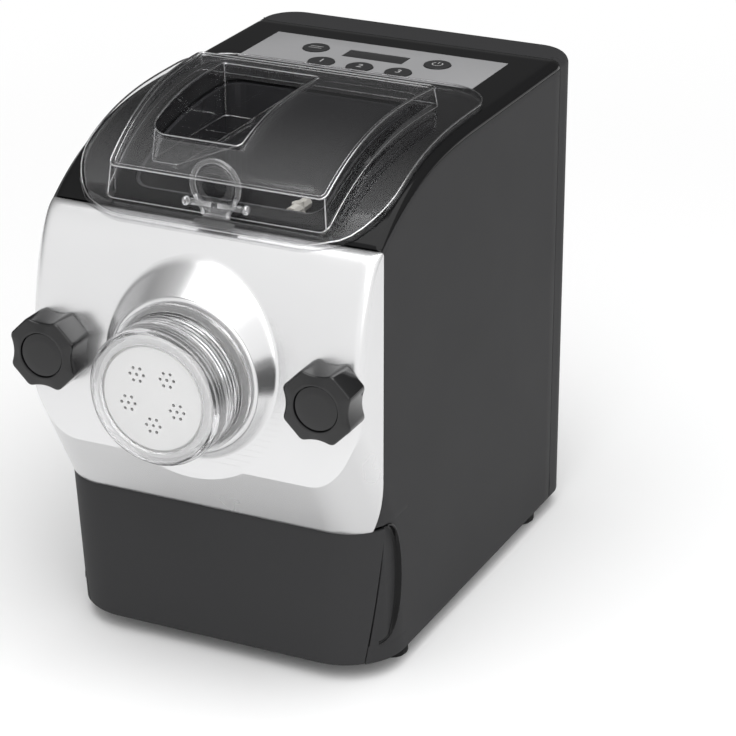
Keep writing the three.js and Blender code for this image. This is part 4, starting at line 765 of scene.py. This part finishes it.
grey_foil = plastic_material("grey_foil", (0.27, 0.27, 0.275), 0.5, grain=0.25, grain_size=0.0003,
                             mottle=0.03, shine=0.15)
button_dark = plastic_material("button_plastic", (0.026, 0.026, 0.027), 0.45, grain=0.2,
                               mottle=0.08, shine=0.2)
button_ink = plastic_material("button_ink", (0.36, 0.36, 0.36), 0.6, mottle=0.1)
display_glass = plastic_material("display_glass", (0.025, 0.025, 0.026), 0.25, mottle=0.12,
                                 shine=0.2)
foil()
display()
for name, x, y in BUTTONS:
    button(name, x, y)
for number, (name, x, y) in enumerate(BUTTONS[2:], 1):
    digit(str(number), x, y + DIGIT_SHIFT, name)
name, x, y = BUTTONS[1]
printed("power_sign", [ribbon(x, y, 3.3, 125, 415, 0.7), bar(x, y + 2.6, 0.35, 1.8)], name)
name, x, y = BUTTONS[0]
printed("hand_sign", [bar(x, y + up, 4.6, 0.35) for up in (-1.6, 1.6)], name)

# ---- Lid
# One moulding of clear plastic over the bowl: a flange that follows the crown, a raised box
# with a bead round its top and a pouring hopper with a ribbed slot. A latch holds its front.
LID_HALF, LID_FRONT_Y, LID_REAR_Y, LID_FRONT_CORNER, LID_REAR_CORNER = 104, -120, 70, 46, 34
LID_LIFT, LID_WALL = 4.4, 2.4
DOME_FRONT_Y, DOME_REAR_Y, DOME_FRONT_HALF, DOME_REAR_HALF = -109, 26, 72, 82
DOME_RISE_FRONT, DOME_RISE_REAR, DOME_BEAD = 22, 15.8, 1.6
DOME_CORNER, DOME_CORNER_MIN = 5, 1.5
HOPPER_LEFT_X, HOPPER_FRONT_Y, HOPPER_REAR_Y, SLOT_WIDTH, HOPPER_LOW_Z = -58, -82, 13, 20, 303.8
HOPPER_RIGHT_FRONT_X, HOPPER_RIGHT_REAR_X = 3, 8
RIB_HALF, RIB_END = 1.2, 0.6
# (inset, lift) of the rings that round an edge
FLANGE_EDGE = ((0, 0.4), (0, LID_LIFT - 1.2), (0.35, LID_LIFT - 0.4), (1.1, LID_LIFT))
DOME_EDGE = ((0.25, DOME_BEAD - 0.25), (0.9, DOME_BEAD), (2.0, DOME_BEAD), (2.6, DOME_BEAD - 0.3),
             (2.9, 0.5), (3.3, 0.05))
HOPPER_EDGE = ((-1.3, 0.5), (-0.5, 0.5), (0, -0.2))


def skin_z(y):
    """The height of the casing's skin under the lid, over the crown and down the face."""
    down = np.clip((BROW_Y - y) / (BROW_Y - CREASE_Y), 0, 0.98)
    face = CREASE_Z + (BROW_Z - CREASE_Z) * np.sqrt(1 - down * down)
    return np.where(y >= BROW_Y, crown_z(y), face)


def dome_z(y):
    share = (y - DOME_FRONT_Y) / (DOME_REAR_Y - DOME_FRONT_Y)
    return crown_z(y) + DOME_RISE_FRONT + (DOME_RISE_REAR - DOME_RISE_FRONT) * share


def lifted(ring, lift):
    return points(*ring.T, skin_z(ring[:, 1]) + lift)


def domed(ring, lift):
    return points(*ring.T, dome_z(ring[:, 1]) + lift)


def plan_ring(front_ends, rear_ends, y_ends, inset, radii, per_side=26, per_corner=12):
    """A closed plan ring with round corners, anticlockwise from the front left corner."""
    corners = np.array([(front_ends[0], y_ends[0]), (front_ends[1], y_ends[0]),
                        (rear_ends[1], y_ends[1]), (rear_ends[0], y_ends[1])], float)
    corners += inset * np.array([(1, 1), (-1, 1), (-1, -1), (1, -1)])
    spans = []
    for k, corner in enumerate(corners):
        before, after = corners[k - 1] - corner, corners[(k + 1) % 4] - corner
        before, after = before / np.linalg.norm(before), after / np.linalg.norm(after)
        half = math.acos(np.clip(before @ after, -1, 1)) / 2
        inward = (before + after) / np.linalg.norm(before + after)
        centre = corner + inward * radii[k] / math.sin(half)
        first = corner + before * radii[k] / math.tan(half) - centre
        turn = math.atan2(first[1], first[0]) + (math.pi - 2 * half) * steps(per_corner)
        spans.append(centre + radii[k] * np.stack([np.cos(turn), np.sin(turn)], -1))
    ring = []
    for k, span in enumerate(spans):
        ring += [span, np.linspace(span[-1], spans[(k + 1) % 4][0], per_side + 2)[1:-1]]
    return np.concatenate([*ring, spans[0][:1]])


def lid_plan(inset):
    radii = [LID_FRONT_CORNER - inset] * 2 + [LID_REAR_CORNER - inset] * 2
    ends = (-LID_HALF, LID_HALF)
    return plan_ring(ends, ends, (LID_FRONT_Y, LID_REAR_Y), inset, radii)


def dome_plan(inset):
    radii = [max(DOME_CORNER - inset * 0.6, DOME_CORNER_MIN)] * 4
    return plan_ring((-DOME_FRONT_HALF, DOME_FRONT_HALF), (-DOME_REAR_HALF, DOME_REAR_HALF),
                     (DOME_FRONT_Y, DOME_REAR_Y), inset, radii)


def hopper_plan(share, inset=0.0):
    """The hopper's outline: its right wall slopes from the top, share 0, to the slot, share 1."""
    slot_right = HOPPER_LEFT_X + SLOT_WIDTH
    front, rear = ((HOPPER_LEFT_X, x + (slot_right - x) * share)
                   for x in (HOPPER_RIGHT_FRONT_X, HOPPER_RIGHT_REAR_X))
    return plan_ring(front, rear, (HOPPER_FRONT_Y, HOPPER_REAR_Y), inset,
                     [12 - 8 * share, 4, 3, 3])


def mix_surface(tree, share, first, second, output="Material Output"):
    mix = add(tree, "MixShader", {0: share, 1: first, 2: second})
    connect(tree, tree.nodes[output], {"Surface": mix})


def clear_plastic(name, haze=0.005, edge=0.16, rim=0.0, tint=0.965):
    """Polished clear plastic: a mirror at flat angles and on its edges, and see-through."""
    material, tree, mirror = new_material(name)
    flow = add(tree, "TexNoise", {"Vector": object_place(tree), "Scale": 22, "Detail": 2})
    connect(tree, mirror, {
        "Base Color": (0.95, 0.95, 0.955, 1), "Metallic": 1,
        "Roughness": add(tree, "MapRange", {"Value": flow, "To Min": 0.03, "To Max": 0.1}),
    })
    add_bump(tree, mirror, flow, 0.02, 0.0004)
    weight = add(tree, "Math", {0: add(tree, "Fresnel", {"IOR": 1.49}), 1: edge, 2: haze},
                 operation="MULTIPLY_ADD", use_clamp=True)
    sharp = add(tree, "MapRange", {
        "Value": add(tree, "NewGeometry", output="Pointiness"),
        "From Min": 0.53, "From Max": 0.62, "To Max": rim,
    })
    total = add(tree, "Math", {0: weight, 1: sharp}, operation="ADD", use_clamp=True)
    through = add(tree, "BsdfTransparent", {"Color": (tint, tint, tint + 0.003, 1)})
    mix_surface(tree, total, through, mirror.outputs[0])
    return material


def clear_bar(name, path, radii, body, material, closed=False, around=14):
    """A round bar of clear plastic along a path."""
    path = np.asarray(path, float)
    if closed:
        ahead = np.roll(path, -1, 0) - np.roll(path, 1, 0)
    else:
        ahead = np.gradient(path, axis=0)
    ahead /= np.linalg.norm(ahead, axis=1)[:, None]
    side = np.cross(ahead, np.eye(3)[abs(ahead).max(0).argmin()])
    side /= np.linalg.norm(side, axis=1)[:, None]
    up = np.cross(side, ahead)
    turn = np.linspace(0, 2 * np.pi, around + 1)[None, :, None]
    radii = np.broadcast_to(radii, len(path))[:, None, None]
    grid = path[:, None] + radii * (side[:, None] * np.cos(turn) + up[:, None] * np.sin(turn))
    if closed:
        grid = np.concatenate([grid, grid[:1]])
    else:
        caps = [np.broadcast_to(path[k], grid[0].shape)[None] for k in (0, -1)]
        grid = np.concatenate([caps[0], grid, caps[1]])
    piece = mesh_object(name, [grid], body, material, merge=0.002)
    dress(piece, degrees=55)
    return piece


clear = clear_plastic("clear_plastic")
bright_edge = clear_plastic("clear_plastic_edge", haze=0.34, edge=0.7)


def lid_shell():
    rows = [lifted(lid_plan(inset), lift) for inset, lift in FLANGE_EDGE]
    rows += [lifted(ring, LID_LIFT) for ring in np.linspace(lid_plan(3), dome_plan(-2.5), 9)]
    rows += [lifted(dome_plan(-1.0), LID_LIFT + 0.4), lifted(dome_plan(-0.2), LID_LIFT + 1.2)]
    base, top = lifted(dome_plan(0), LID_LIFT + 2.4), domed(dome_plan(0), DOME_BEAD - 0.9)
    rows += [base, (base + top) / 2, top]
    rows += [domed(dome_plan(inset), lift) for inset, lift in DOME_EDGE]
    rows += [domed(ring, 0) for ring in np.linspace(dome_plan(4.2), hopper_plan(0, -2.2), 9)]
    rows += [domed(hopper_plan(0, inset), lift) for inset, lift in HOPPER_EDGE]
    rows += [*np.linspace(domed(hopper_plan(0), -1.2), slot_ring, 9)]
    piece = mesh_object("lid_shell", [np.array(rows)], "lid", clear, merge=0.003)
    with editing(piece.data) as work:
        if sum(f.normal.z for f in work.faces) < 0:
            bmesh.ops.reverse_faces(work, faces=work.faces)
    thicken(piece, LID_WALL, 0.3)
    dress(piece, "lid", 32)


def lid_edges():
    """Thin bright lines where the moulding turns and light gathers."""
    foot, bead = lifted(dome_plan(-1.2), LID_LIFT + 0.5), domed(dome_plan(0.8), DOME_BEAD - 0.75)
    mouth, slot = domed(hopper_plan(0, -0.6), -0.4), slot_ring + [0, 0, 0.5]
    rim, ledge = lifted(lid_plan(0.7), LID_LIFT - 0.6), domed(dome_plan(3.1), 0.1)
    for name, path, radius in (("rim", rim, 0.55), ("foot", foot, 0.4), ("bead", bead, 0.7),
                               ("ledge", ledge, 0.35), ("mouth", mouth, 0.6), ("slot", slot, 0.5)):
        clear_bar(f"lid_edge_{name}", path, radius, "lid", bright_edge, closed=True, around=8)
    for name, low, high in (("box", foot, bead), ("hopper", slot, mouth)):
        for corner, way in enumerate(((-1, -1), (1, -1), (1, 1), (-1, 1)), 1):
            first, last = (ring[(ring[:, :2] @ way).argmax()] for ring in (low, high))
            clear_bar(f"lid_corner_{name}_{corner}", np.linspace(first, last, 8), 0.5, "lid",
                      bright_edge, around=8)


def slot_ribs():
    for number, along in enumerate((0.25, 0.5, 0.75), 1):
        y = HOPPER_FRONT_Y + (HOPPER_REAR_Y - HOPPER_FRONT_Y) * along
        rib = block_object(f"slot_rib_{number}",
                           (HOPPER_LEFT_X - RIB_END, HOPPER_LEFT_X + SLOT_WIDTH + RIB_END),
                           (y - RIB_HALF, y + RIB_HALF),
                           (HOPPER_LOW_Z - LID_WALL, HOPPER_LOW_Z + LID_WALL), 0.4, "lid", clear)


slot_ring = points(*hopper_plan(1).T, HOPPER_LOW_Z)
lid_shell()
lid_edges()
slot_ribs()

# ---- Latch
# A clear rocker on the front of the lid: a loop for a finger, a pivot bar that ends in two
# small balls, and a ribbed toe that hooks down over the edge of the lid.
LATCH_X, LATCH_Y, LATCH_Z = 4, -115, 296.61
LOOP_RADIUS, LOOP_BAR, LOOP_SINK = 17, 4, 5
DISH_PROFILE = ((1.4, 1.0), (0, -0.6), (-2, -1.1), (-4, -1.2))  # radius from its groove, along
DISH_INSET = 3.2  # from the loop's middle line to the groove
# Distance from the middle and radius along the pivot bar
PIVOT_LINE = ((2, 2.2), (8, 2.2), (13, 2.2), (17, 2.2), (17.6, 1.8), (18.6, 2.7), (19.8, 3.2),
              (21, 2.7), (21.9, 1.6), (22.3, 0.6))
# The same for the arm that joins loop and toe, with its y and z from the pivot in between
ARM_LINE = ((13.4, 0, 5, 1.5), (12, 0, 1.5, 1.7), (10.2, 0, -1, 1.7), (8.6, -0.3, -3.4, 1.6),
            (8.2, -0.8, -6.2, 1.4))
TOE_HALF, TOE_WALL, TOE_LIFT, TOE_INSET = 9, 1.6, 0.6, 0.4
TOE_START = 1.5  # over the pivot
LATCH_RIBS, LATCH_RIB_START, LATCH_RIB_LIFT, LATCH_RIB_OVERHANG = 5, 1.2, 1.4, 4.3
LATCH_RIB_RADII = (0.3, 0.62, 0.66, 0.66, 0.66, 0.62, 0.3)


def latch():
    turn = np.linspace(0, 2 * np.pi, 73)[:-1]
    centre = (LATCH_X, LATCH_Y, LATCH_Z + LOOP_RADIUS - LOOP_SINK)
    middle = LOOP_RADIUS - LOOP_BAR / 2
    loop = clear_bar("latch_loop", ring_at(middle, turn, LATCH_Y, LATCH_X, centre[2]),
                     LOOP_BAR / 2, "lid_latch", clear_edge, closed=True)
    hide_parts("lid_latch")
    groove = middle - DISH_INSET
    dish = lathe("latch_dish", [(groove + out, along) for out, along in DISH_PROFILE], centre, "y",
                 "lid_latch", clear_edge, 64)
    for hand, side in (("left", -1), ("right", 1)):
        clear_bar(f"latch_pivot_{hand}",
                  [(LATCH_X + side * x, LATCH_Y, LATCH_Z) for x, _ in PIVOT_LINE],
                  [radius for _, radius in PIVOT_LINE], "lid_latch", clear_edge)
        clear_bar(f"latch_arm_{hand}",
                  [(LATCH_X + side * x, LATCH_Y + y, LATCH_Z + z) for x, y, z, _ in ARM_LINE],
                  [radius for *_, radius in ARM_LINE], "lid_latch", clear_edge)
    low_y = LID_FRONT_Y + TOE_INSET
    toe_y = np.linspace(LATCH_Y, low_y, 9)
    toe_z = np.concatenate([[LATCH_Z + TOE_START], skin_z(toe_y[1:]) + LID_LIFT + TOE_LIFT])
    toe = mesh_object("latch_toe", [[
        [(LATCH_X + side * TOE_HALF, y, z) for side in (-1, -0.33, 0.33, 1)]
        for y, z in zip(toe_y, toe_z)
    ]], "lid_latch", clear_edge)
    thicken(toe, TOE_WALL, 0.3)
    first_y, half = LATCH_Y - LATCH_RIB_START, TOE_HALF + LATCH_RIB_OVERHANG
    for number in range(LATCH_RIBS):
        y = first_y + (low_y - first_y) * (number + 0.4) / LATCH_RIBS
        z = float(skin_z(y)) + LID_LIFT + LATCH_RIB_LIFT
        clear_bar(f"latch_rib_{number + 1}",
                  [(LATCH_X + x, y, z) for x in np.linspace(-half, half, len(LATCH_RIB_RADII))],
                  LATCH_RIB_RADII, "lid_latch", clear_rib, around=10)


clear_edge = clear_plastic("clear_plastic_bar", haze=0.015, edge=0.4, rim=0.5, tint=0.9)
clear_rib = clear_plastic("clear_plastic_rib", haze=0.12, edge=0.8, tint=0.5)
latch()

# ---- Nozzle
# A clear tube leads the dough from the bowl. A clear ribbed nut screws on its front and holds
# a white shaping disc with five rosettes of round holes.
NOZZLE_FRONT_Y, NUT_FLANGE_Y, NUT_REAR_Y = -190, -158.5, -154.5
TUBE_RADIUS, TUBE_WALL, TUBE_FLANGE = 38.5, 4, 4.5
TUBE_FRONT_Y, TUBE_REAR_Y = -180.5, -97.3
NUT_RADIUS, NUT_FLANGE, NUT_LIP, NUT_SHOULDER = 42.5, 3.6, 3, 2
NUT_BAND_Y, NUT_RIBS, NUT_RIB_DEPTH = NOZZLE_FRONT_Y + 12.6, 6, 1.1
THREAD_GAP = 0.4
DISC_RADIUS, WINDOW_RADIUS, DISC_FACE_Y = 37, 33.5, NOZZLE_FRONT_Y + 1.5
DISC_STEP, DISC_THICKNESS = 1.8, 7.5
ROSETTES, ROSETTE_RADIUS, HOLE_RADIUS, HOLE_DEPTH = 5, 4.4, 1.05, 14
NOZZLE_CENTRE = (0, 0, AXIS_Z)


def thread_plastic():
    """Clear plastic over a thread: it bends the light. Pale bands follow the thread; their
    paleness is a painted glint for the light the thread bends.
    """
    material, tree, glass = new_material("clear_plastic_nut")
    connect(tree, glass, {
        "Base Color": (0.97, 0.97, 0.975, 1), "Transmission Weight": 1, "Roughness": 0.03,
        "IOR": 1.3,
    })
    # Painted glint: pale diffuse bands along the thread stand in for light that the thread bends
    # and reflects.
    pale = add(tree, "BsdfPrincipled", {"Base Color": (0.8, 0.8, 0.805, 1), "Roughness": 0.15})
    thread = add(tree, "TexWave", {"Vector": object_place(tree), "Scale": 110}, "Fac",
                 bands_direction="Y")
    share = add(tree, "MapRange", {
        "Value": thread, "From Min": 0.6, "To Min": 0.03, "To Max": 0.3,
    })
    mix_surface(tree, share, glass.outputs[0], pale)
    return material


def nozzle_nut():
    seat, front = NOZZLE_FRONT_Y + NUT_LIP, NUT_RADIUS - NUT_SHOULDER
    outer = [(WINDOW_RADIUS, seat), (WINDOW_RADIUS, NOZZLE_FRONT_Y),
             (front - NUT_SHOULDER, NOZZLE_FRONT_Y), (front, NOZZLE_FRONT_Y + NUT_SHOULDER / 2),
             (NUT_RADIUS, NOZZLE_FRONT_Y + 2 * NUT_SHOULDER), (NUT_RADIUS, NUT_BAND_Y)]
    pitch = (NUT_FLANGE_Y - NUT_BAND_Y) / NUT_RIBS
    for i in range(NUT_RIBS):
        for sink, share in ((NUT_RIB_DEPTH, 0.15), (NUT_RIB_DEPTH, 0.42), (0, 0.6), (0, 0.95)):
            outer.append((NUT_RADIUS - sink, NUT_BAND_Y + (i + share) * pitch))
    outer += [(NUT_RADIUS, NUT_FLANGE_Y), (NUT_RADIUS + NUT_FLANGE, NUT_FLANGE_Y),
              (NUT_RADIUS + NUT_FLANGE, NUT_REAR_Y)]
    bore = TUBE_RADIUS + THREAD_GAP
    outline = soften(outer, 0.5, 4) + soften([(bore, NUT_REAR_Y), (bore, seat),
                                              (WINDOW_RADIUS, seat)], 0.4, 3)
    piece = lathe("nozzle_nut_ring", outline, NOZZLE_CENTRE, "y", "nozzle", ring_glass, 144)
    dress(piece, "nozzle_nut")


def extrusion_tube():
    inner, flange = TUBE_RADIUS - TUBE_WALL, TUBE_RADIUS + TUBE_FLANGE
    flange_y = TUBE_REAR_Y - TUBE_FLANGE
    outline = soften([(inner, TUBE_REAR_Y), (inner, TUBE_FRONT_Y), (TUBE_RADIUS, TUBE_FRONT_Y),
                      (TUBE_RADIUS, flange_y), (flange, flange_y), (flange, TUBE_REAR_Y)], 0.8, 4)
    outline = [(radius, max(y, TUBE_FRONT_Y + 0.3)) for radius, y in outline]
    piece = lathe("extrusion_tube_wall", [*outline, outline[0]], NOZZLE_CENTRE, "y", "housing",
                  clear_ring, 128)
    dress(piece, "extrusion_tube")


def shaping_disc():
    step, rear = DISC_FACE_Y + DISC_STEP, DISC_FACE_Y + DISC_THICKNESS
    outline = soften([(0, rear), (DISC_RADIUS, rear), (DISC_RADIUS, step),
                      (WINDOW_RADIUS - 0.6, step), (WINDOW_RADIUS - 1.6, DISC_FACE_Y),
                      (0, DISC_FACE_Y)], 0.7)
    piece = lathe("shaping_disc_plate", outline, NOZZLE_CENTRE, "y", "housing", white, 128)
    holes = []
    for place in range(ROSETTES):
        way = math.radians(-90 + 360 / ROSETTES * place)
        x, z = math.cos(way) * WINDOW_RADIUS / 2, AXIS_Z + math.sin(way) * WINDOW_RADIUS / 2
        spots = [(x, z)]
        for turn in np.radians(np.arange(0, 360, 60)):
            spots.append((x + ROSETTE_RADIUS * math.cos(turn),
                          z + ROSETTE_RADIUS * math.sin(turn)))
        for a, b in spots:
            centre = (a, DISC_FACE_Y + HOLE_DEPTH / 4, b)
            holes.append(round_cutter(HOLE_RADIUS, HOLE_DEPTH, centre, "y", 20))
    carve(piece, holes)
    dress(piece, "shaping_disc", 38)


white = plastic_material("white_disc_plastic", (0.62, 0.62, 0.62), 0.32, mottle=0.02, coat=0.2,
                         more={"Subsurface Weight": 0.5, "Subsurface Radius": (1, 1, 1),
                               "Subsurface Scale": 0.003})
ring_glass = thread_plastic()
clear_ring = clear_plastic("clear_plastic_ring", haze=0.03, edge=0.8, rim=0.5)
nozzle_nut()
extrusion_tube()
shaping_disc()

# ---- Star knobs
# Two gloss black knobs with four double-tipped lobes and a round cap let into the front.
# They screw on the studs and clamp the front cover to the frame.
KNOB_X, KNOB_FRONT_Y, KNOB_RADIUS, KNOB_REAR_Y = 90.65, -161.5, 24, -139.5
KNOB_BORE, TIP_DEGREES, TIP_ROUND, HOLLOW_SHARE = 4.6, 20.6, 2.4, 0.095
REAR_BEVEL, REAR_ROUND, FRONT_ROUND = 3.4, 2.2, 1.6
FRONT_STEP = 0.9  # from the front of the lobes to the rim of the cap
CAP_RIM = ((14.6, 0), (14.2, 0.15), (14.0, 0.6), (14.0, 2.4), (0, 2.4))  # radius, depth
CAP_PROFILE = ((0, 2.2), (13.7, 2.2), (13.7, 0.9), (9, 0.5), (0, 0.2))


def star_outline():
    """Two rounded tips a lobe and a shallow hollow between lobes, as evenly spaced points."""
    tips = []
    for quarter in (0, 90, 180, 270):
        turn = np.radians(quarter + np.array([45 - TIP_DEGREES, 45 + TIP_DEGREES,
                                              135 - TIP_DEGREES]))
        left, right, following = KNOB_RADIUS * np.stack([np.cos(turn), np.sin(turn)], -1)
        tips += [left, right]
        for along in (0.25, 0.5, 0.75):
            sink = 1 - HOLLOW_SHARE * 4 * along * (1 - along)
            tips.append((right + (following - right) * along) * sink)
    start = (tips[0] + tips[1]) / 2
    line = np.array(soften([start, *tips[1:], tips[0], start], TIP_ROUND, 6))
    length = np.concatenate([[0], np.cumsum(np.linalg.norm(np.diff(line, axis=0), axis=1))])
    at = np.linspace(0, length[-1], 193)
    return np.stack([np.interp(at, length, line[:, k]) for k in (0, 1)], -1)


def star_knob(hand, centre_x):
    body = f"knob_{hand}"
    line = star_outline()
    reach = np.linalg.norm(line, axis=1)

    def ring(shrink, y):
        x, z = (line * (1 - shrink / reach)[:, None]).T
        return points(centre_x + x, y, AXIS_Z + z)

    rows = [ring(REAR_BEVEL, KNOB_REAR_Y)]
    for turn in np.radians([0, 30, 60, 90]):
        rows.append(ring(REAR_ROUND * (1 - math.sin(turn)),
                         KNOB_REAR_Y - REAR_ROUND * (1 - math.cos(turn))))
    for turn in np.radians([0, 22, 45, 67, 90]):
        rows.append(ring(FRONT_ROUND * (1 - math.cos(turn)),
                         KNOB_FRONT_Y + FRONT_STEP + FRONT_ROUND * (1 - math.sin(turn))))
    rim = rows[-1]
    turn = np.arctan2(rim[:, 2] - AXIS_Z, rim[:, 0] - centre_x)

    def circle(radius, y):
        return ring_at(radius, turn, y, centre_x)

    rim_radius = CAP_RIM[0][0]
    for share in (0.4, 0.8):
        rows.append(rim * (1 - share) + circle(rim_radius, KNOB_FRONT_Y) * share)
    rows += [circle(radius, KNOB_FRONT_Y + depth) for radius, depth in CAP_RIM]
    rows.insert(0, circle(KNOB_BORE, KNOB_REAR_Y))
    piece = mesh_object(f"star_knob_{hand}_body", [np.array(rows)], body, knob_black, merge=0.002)
    dress(piece, f"star_knob_{hand}", 40)
    profile = [(radius, KNOB_FRONT_Y + depth) for radius, depth in CAP_PROFILE]
    cap = lathe(f"knob_cap_{hand}_disc", soften(profile, 0.5), (centre_x, 0, AXIS_Z), "y", body,
                knob_black)
    dress(cap, f"knob_cap_{hand}")


knob_black = plastic_material("knob_black_plastic", (0.005, 0.005, 0.0055), 0.1, mottle=0.08)
star_knob("left", -KNOB_X)
star_knob("right", KNOB_X)

# ---- Inside and feet
# What the covers hide and the lid or the drawer uncovers: a dark bowl and tray, nylon paddle,
# screw and gears on steel shafts, plated steel plates, the motor, and four rubber feet.
def metal_material(name, color, roughness, lines, direction):
    """Bare metal with fine lines from rolling or turning in its gloss."""
    material = plastic_material(name, color, roughness, mottle=0.03, more={"Metallic": 1})
    tree = material.node_tree
    stretch = add(tree, "Mapping", {"Vector": object_place(tree), "Scale": direction})
    scratch = add(tree, "TexNoise", {"Vector": stretch, "Scale": lines})
    add_bump(tree, tree.nodes["Principled BSDF"], scratch, 0.12, 0.00005)
    return material


inner_black = plastic_material("inner_black_plastic", (0.02, 0.02, 0.021), 0.48, grain=0.3,
                               shine=0.3)
bowl_black = plastic_material("bowl_plastic", (0.035, 0.035, 0.037), 0.24, mottle=0.05, shine=0.45)
nylon = plastic_material("natural_nylon", (0.74, 0.72, 0.66), 0.38, mottle=0.03)
rubber = plastic_material("foot_rubber", (0.012, 0.012, 0.012), 0.75, grain=0.5, shine=0.2)
board_green = plastic_material("circuit_board", (0.03, 0.13, 0.05), 0.4, grain=0.4,
                               grain_size=0.0012, mottle=0.15)
zinc = metal_material("zinc_plated_sheet", (0.55, 0.56, 0.57), 0.36, 900, (1, 1, 0.05))
turned_steel = metal_material("turned_steel", (0.6, 0.61, 0.62), 0.24, 1400, (0.05, 1, 0.05))
bronze = metal_material("sintered_bronze", (0.5, 0.33, 0.16), 0.42, 1600, (1, 1, 1))
motor_steel = metal_material("motor_can", (0.2, 0.2, 0.205), 0.4, 700, (0.05, 1, 0.05))
for finish, names in (
    (inner_black, ("base_plate", "drawer_tray", "power_inlet", "motor_fan")),
    (bowl_black, ("mixing_bowl",)),
    (nylon, ("kneading_paddle", "extrusion_screw", "output_gear", "middle_gear")),
    (rubber, ("foot_front_left", "foot_front_right", "foot_rear_left", "foot_rear_right")),
    (board_green, ("control_board",)),
    (zinc, ("front_frame", "deck", "gear_plate_front", "gear_plate_rear")),
    (turned_steel, ("stud_left", "stud_right", "drive_shaft", "motor_shaft", "motor_pinion",
                    "middle_gear_pin")),
    (bronze, ("bush_front", "bush_rear")),
    (motor_steel, ("motor_body",)),
):
    for name in names:
        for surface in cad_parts[name].material_slots:
            surface.material = finish

# ---- Stage
# A plain white floor that keeps a soft shadow, wide soft lamps and the photograph's viewpoint:
# a long lens from the front right, a little above the machine. Lengths here are in metres.
FLOOR_HALF = 6.0
FADE_START, FADE_END = 0.35, 1.3  # the floor fades to white between these distances
CAMERA_PLACE, CAMERA_TARGET = (0.7623, -1.5032, 0.8773), (0.0495, -0.0053, 0.1595)
SENSOR_WIDTH, LENS = 36, 141.8  # millimetres


def white_floor():
    material, tree, paint = new_material("white_floor")
    tone = add(tree, "Mix", {
        "Factor": add(tree, "TexNoise", {"Scale": 0.7}),
        "A": (0.93, 0.93, 0.93, 1), "B": (0.96, 0.96, 0.96, 1),
    }, "Result", data_type="RGBA")
    connect(tree, paint, {"Roughness": 0.9, "Base Color": tone})
    spot = add(tree, "NewGeometry", output="Position")
    reach = add(tree, "MapRange", {
        "Value": add(tree, "VectorMath", {0: spot}, "Value", operation="LENGTH"),
        "From Min": FADE_START, "From Max": FADE_END,
    }, interpolation_type="SMOOTHSTEP")
    mix_surface(tree, reach, paint.outputs[0], add(tree, "Emission"))
    return material


def floor():
    mesh = bpy.data.meshes.new("floor")
    a = FLOOR_HALF
    mesh.from_pydata([(-a, -a, 0), (a, -a, 0), (a, a, 0), (-a, a, 0)], [], [(0, 1, 2, 3)])
    mesh.materials.append(white_floor())
    linked("floor", mesh)


def sky():
    """White to the camera; as light it is brightest from the front right and above."""
    world = bpy.context.scene.world or bpy.data.worlds.new("studio")
    bpy.context.scene.world = world
    world.use_nodes = True
    tree = world.node_tree
    tree.nodes.clear()
    aim = add(tree, "TexCoord", output="Generated")
    facing = add(tree, "VectorMath", {0: aim, 1: (0.45, -0.8, 0.4)}, "Value",
                 operation="DOT_PRODUCT")
    fade = add(tree, "MapRange", {
        "Value": facing, "From Min": -0.7, "From Max": 0.9, "To Min": 0.12, "To Max": 1.02,
    }, interpolation_type="SMOOTHSTEP")
    light, seen = (add(tree, "Background", {"Color": (1, 1, 1, 1), "Strength": strength})
                   for strength in (fade, 1))
    seen_directly = add(tree, "LightPath", output="Is Camera Ray")
    output = tree.nodes.new("ShaderNodeOutputWorld")
    mix_surface(tree, seen_directly, light, seen, output.name)


def aimed(name, data, place, target):
    """Puts a lamp or a camera at a place and turns it to its target."""
    thing = linked(name, data)
    thing.location = place
    thing.rotation_euler = (Vector(target) - Vector(place)).to_track_quat("-Z", "Y").to_euler()
    return thing


def lamp(name, place, target, size, power):
    data = bpy.data.lights.new(name, "AREA")
    data.shape = "RECTANGLE"
    data.size, data.size_y = size
    data.energy = power
    aimed(name, data, place, target)


def camera():
    """The photograph's viewpoint, found from the edges of the casing."""
    data = bpy.data.cameras.new("camera")
    data.sensor_width = SENSOR_WIDTH
    data.lens = LENS
    data.clip_end = 20
    bpy.context.scene.camera = aimed("camera", data, CAMERA_PLACE, CAMERA_TARGET)


floor()
sky()
lamp("key", (0.9, -1.7, 2.2), (0, 0, 0.15), (1.6, 1.2), 18)
lamp("side", (2.0, -1.9, 1.2), (0, 0, 0.15), (1.0, 1.2), 6)
lamp("top", (0.2, -0.3, 2.5), (0, 0, 0.2), (2.2, 1.8), 28)
camera()
bpy.context.scene.view_settings.view_transform = "Standard"
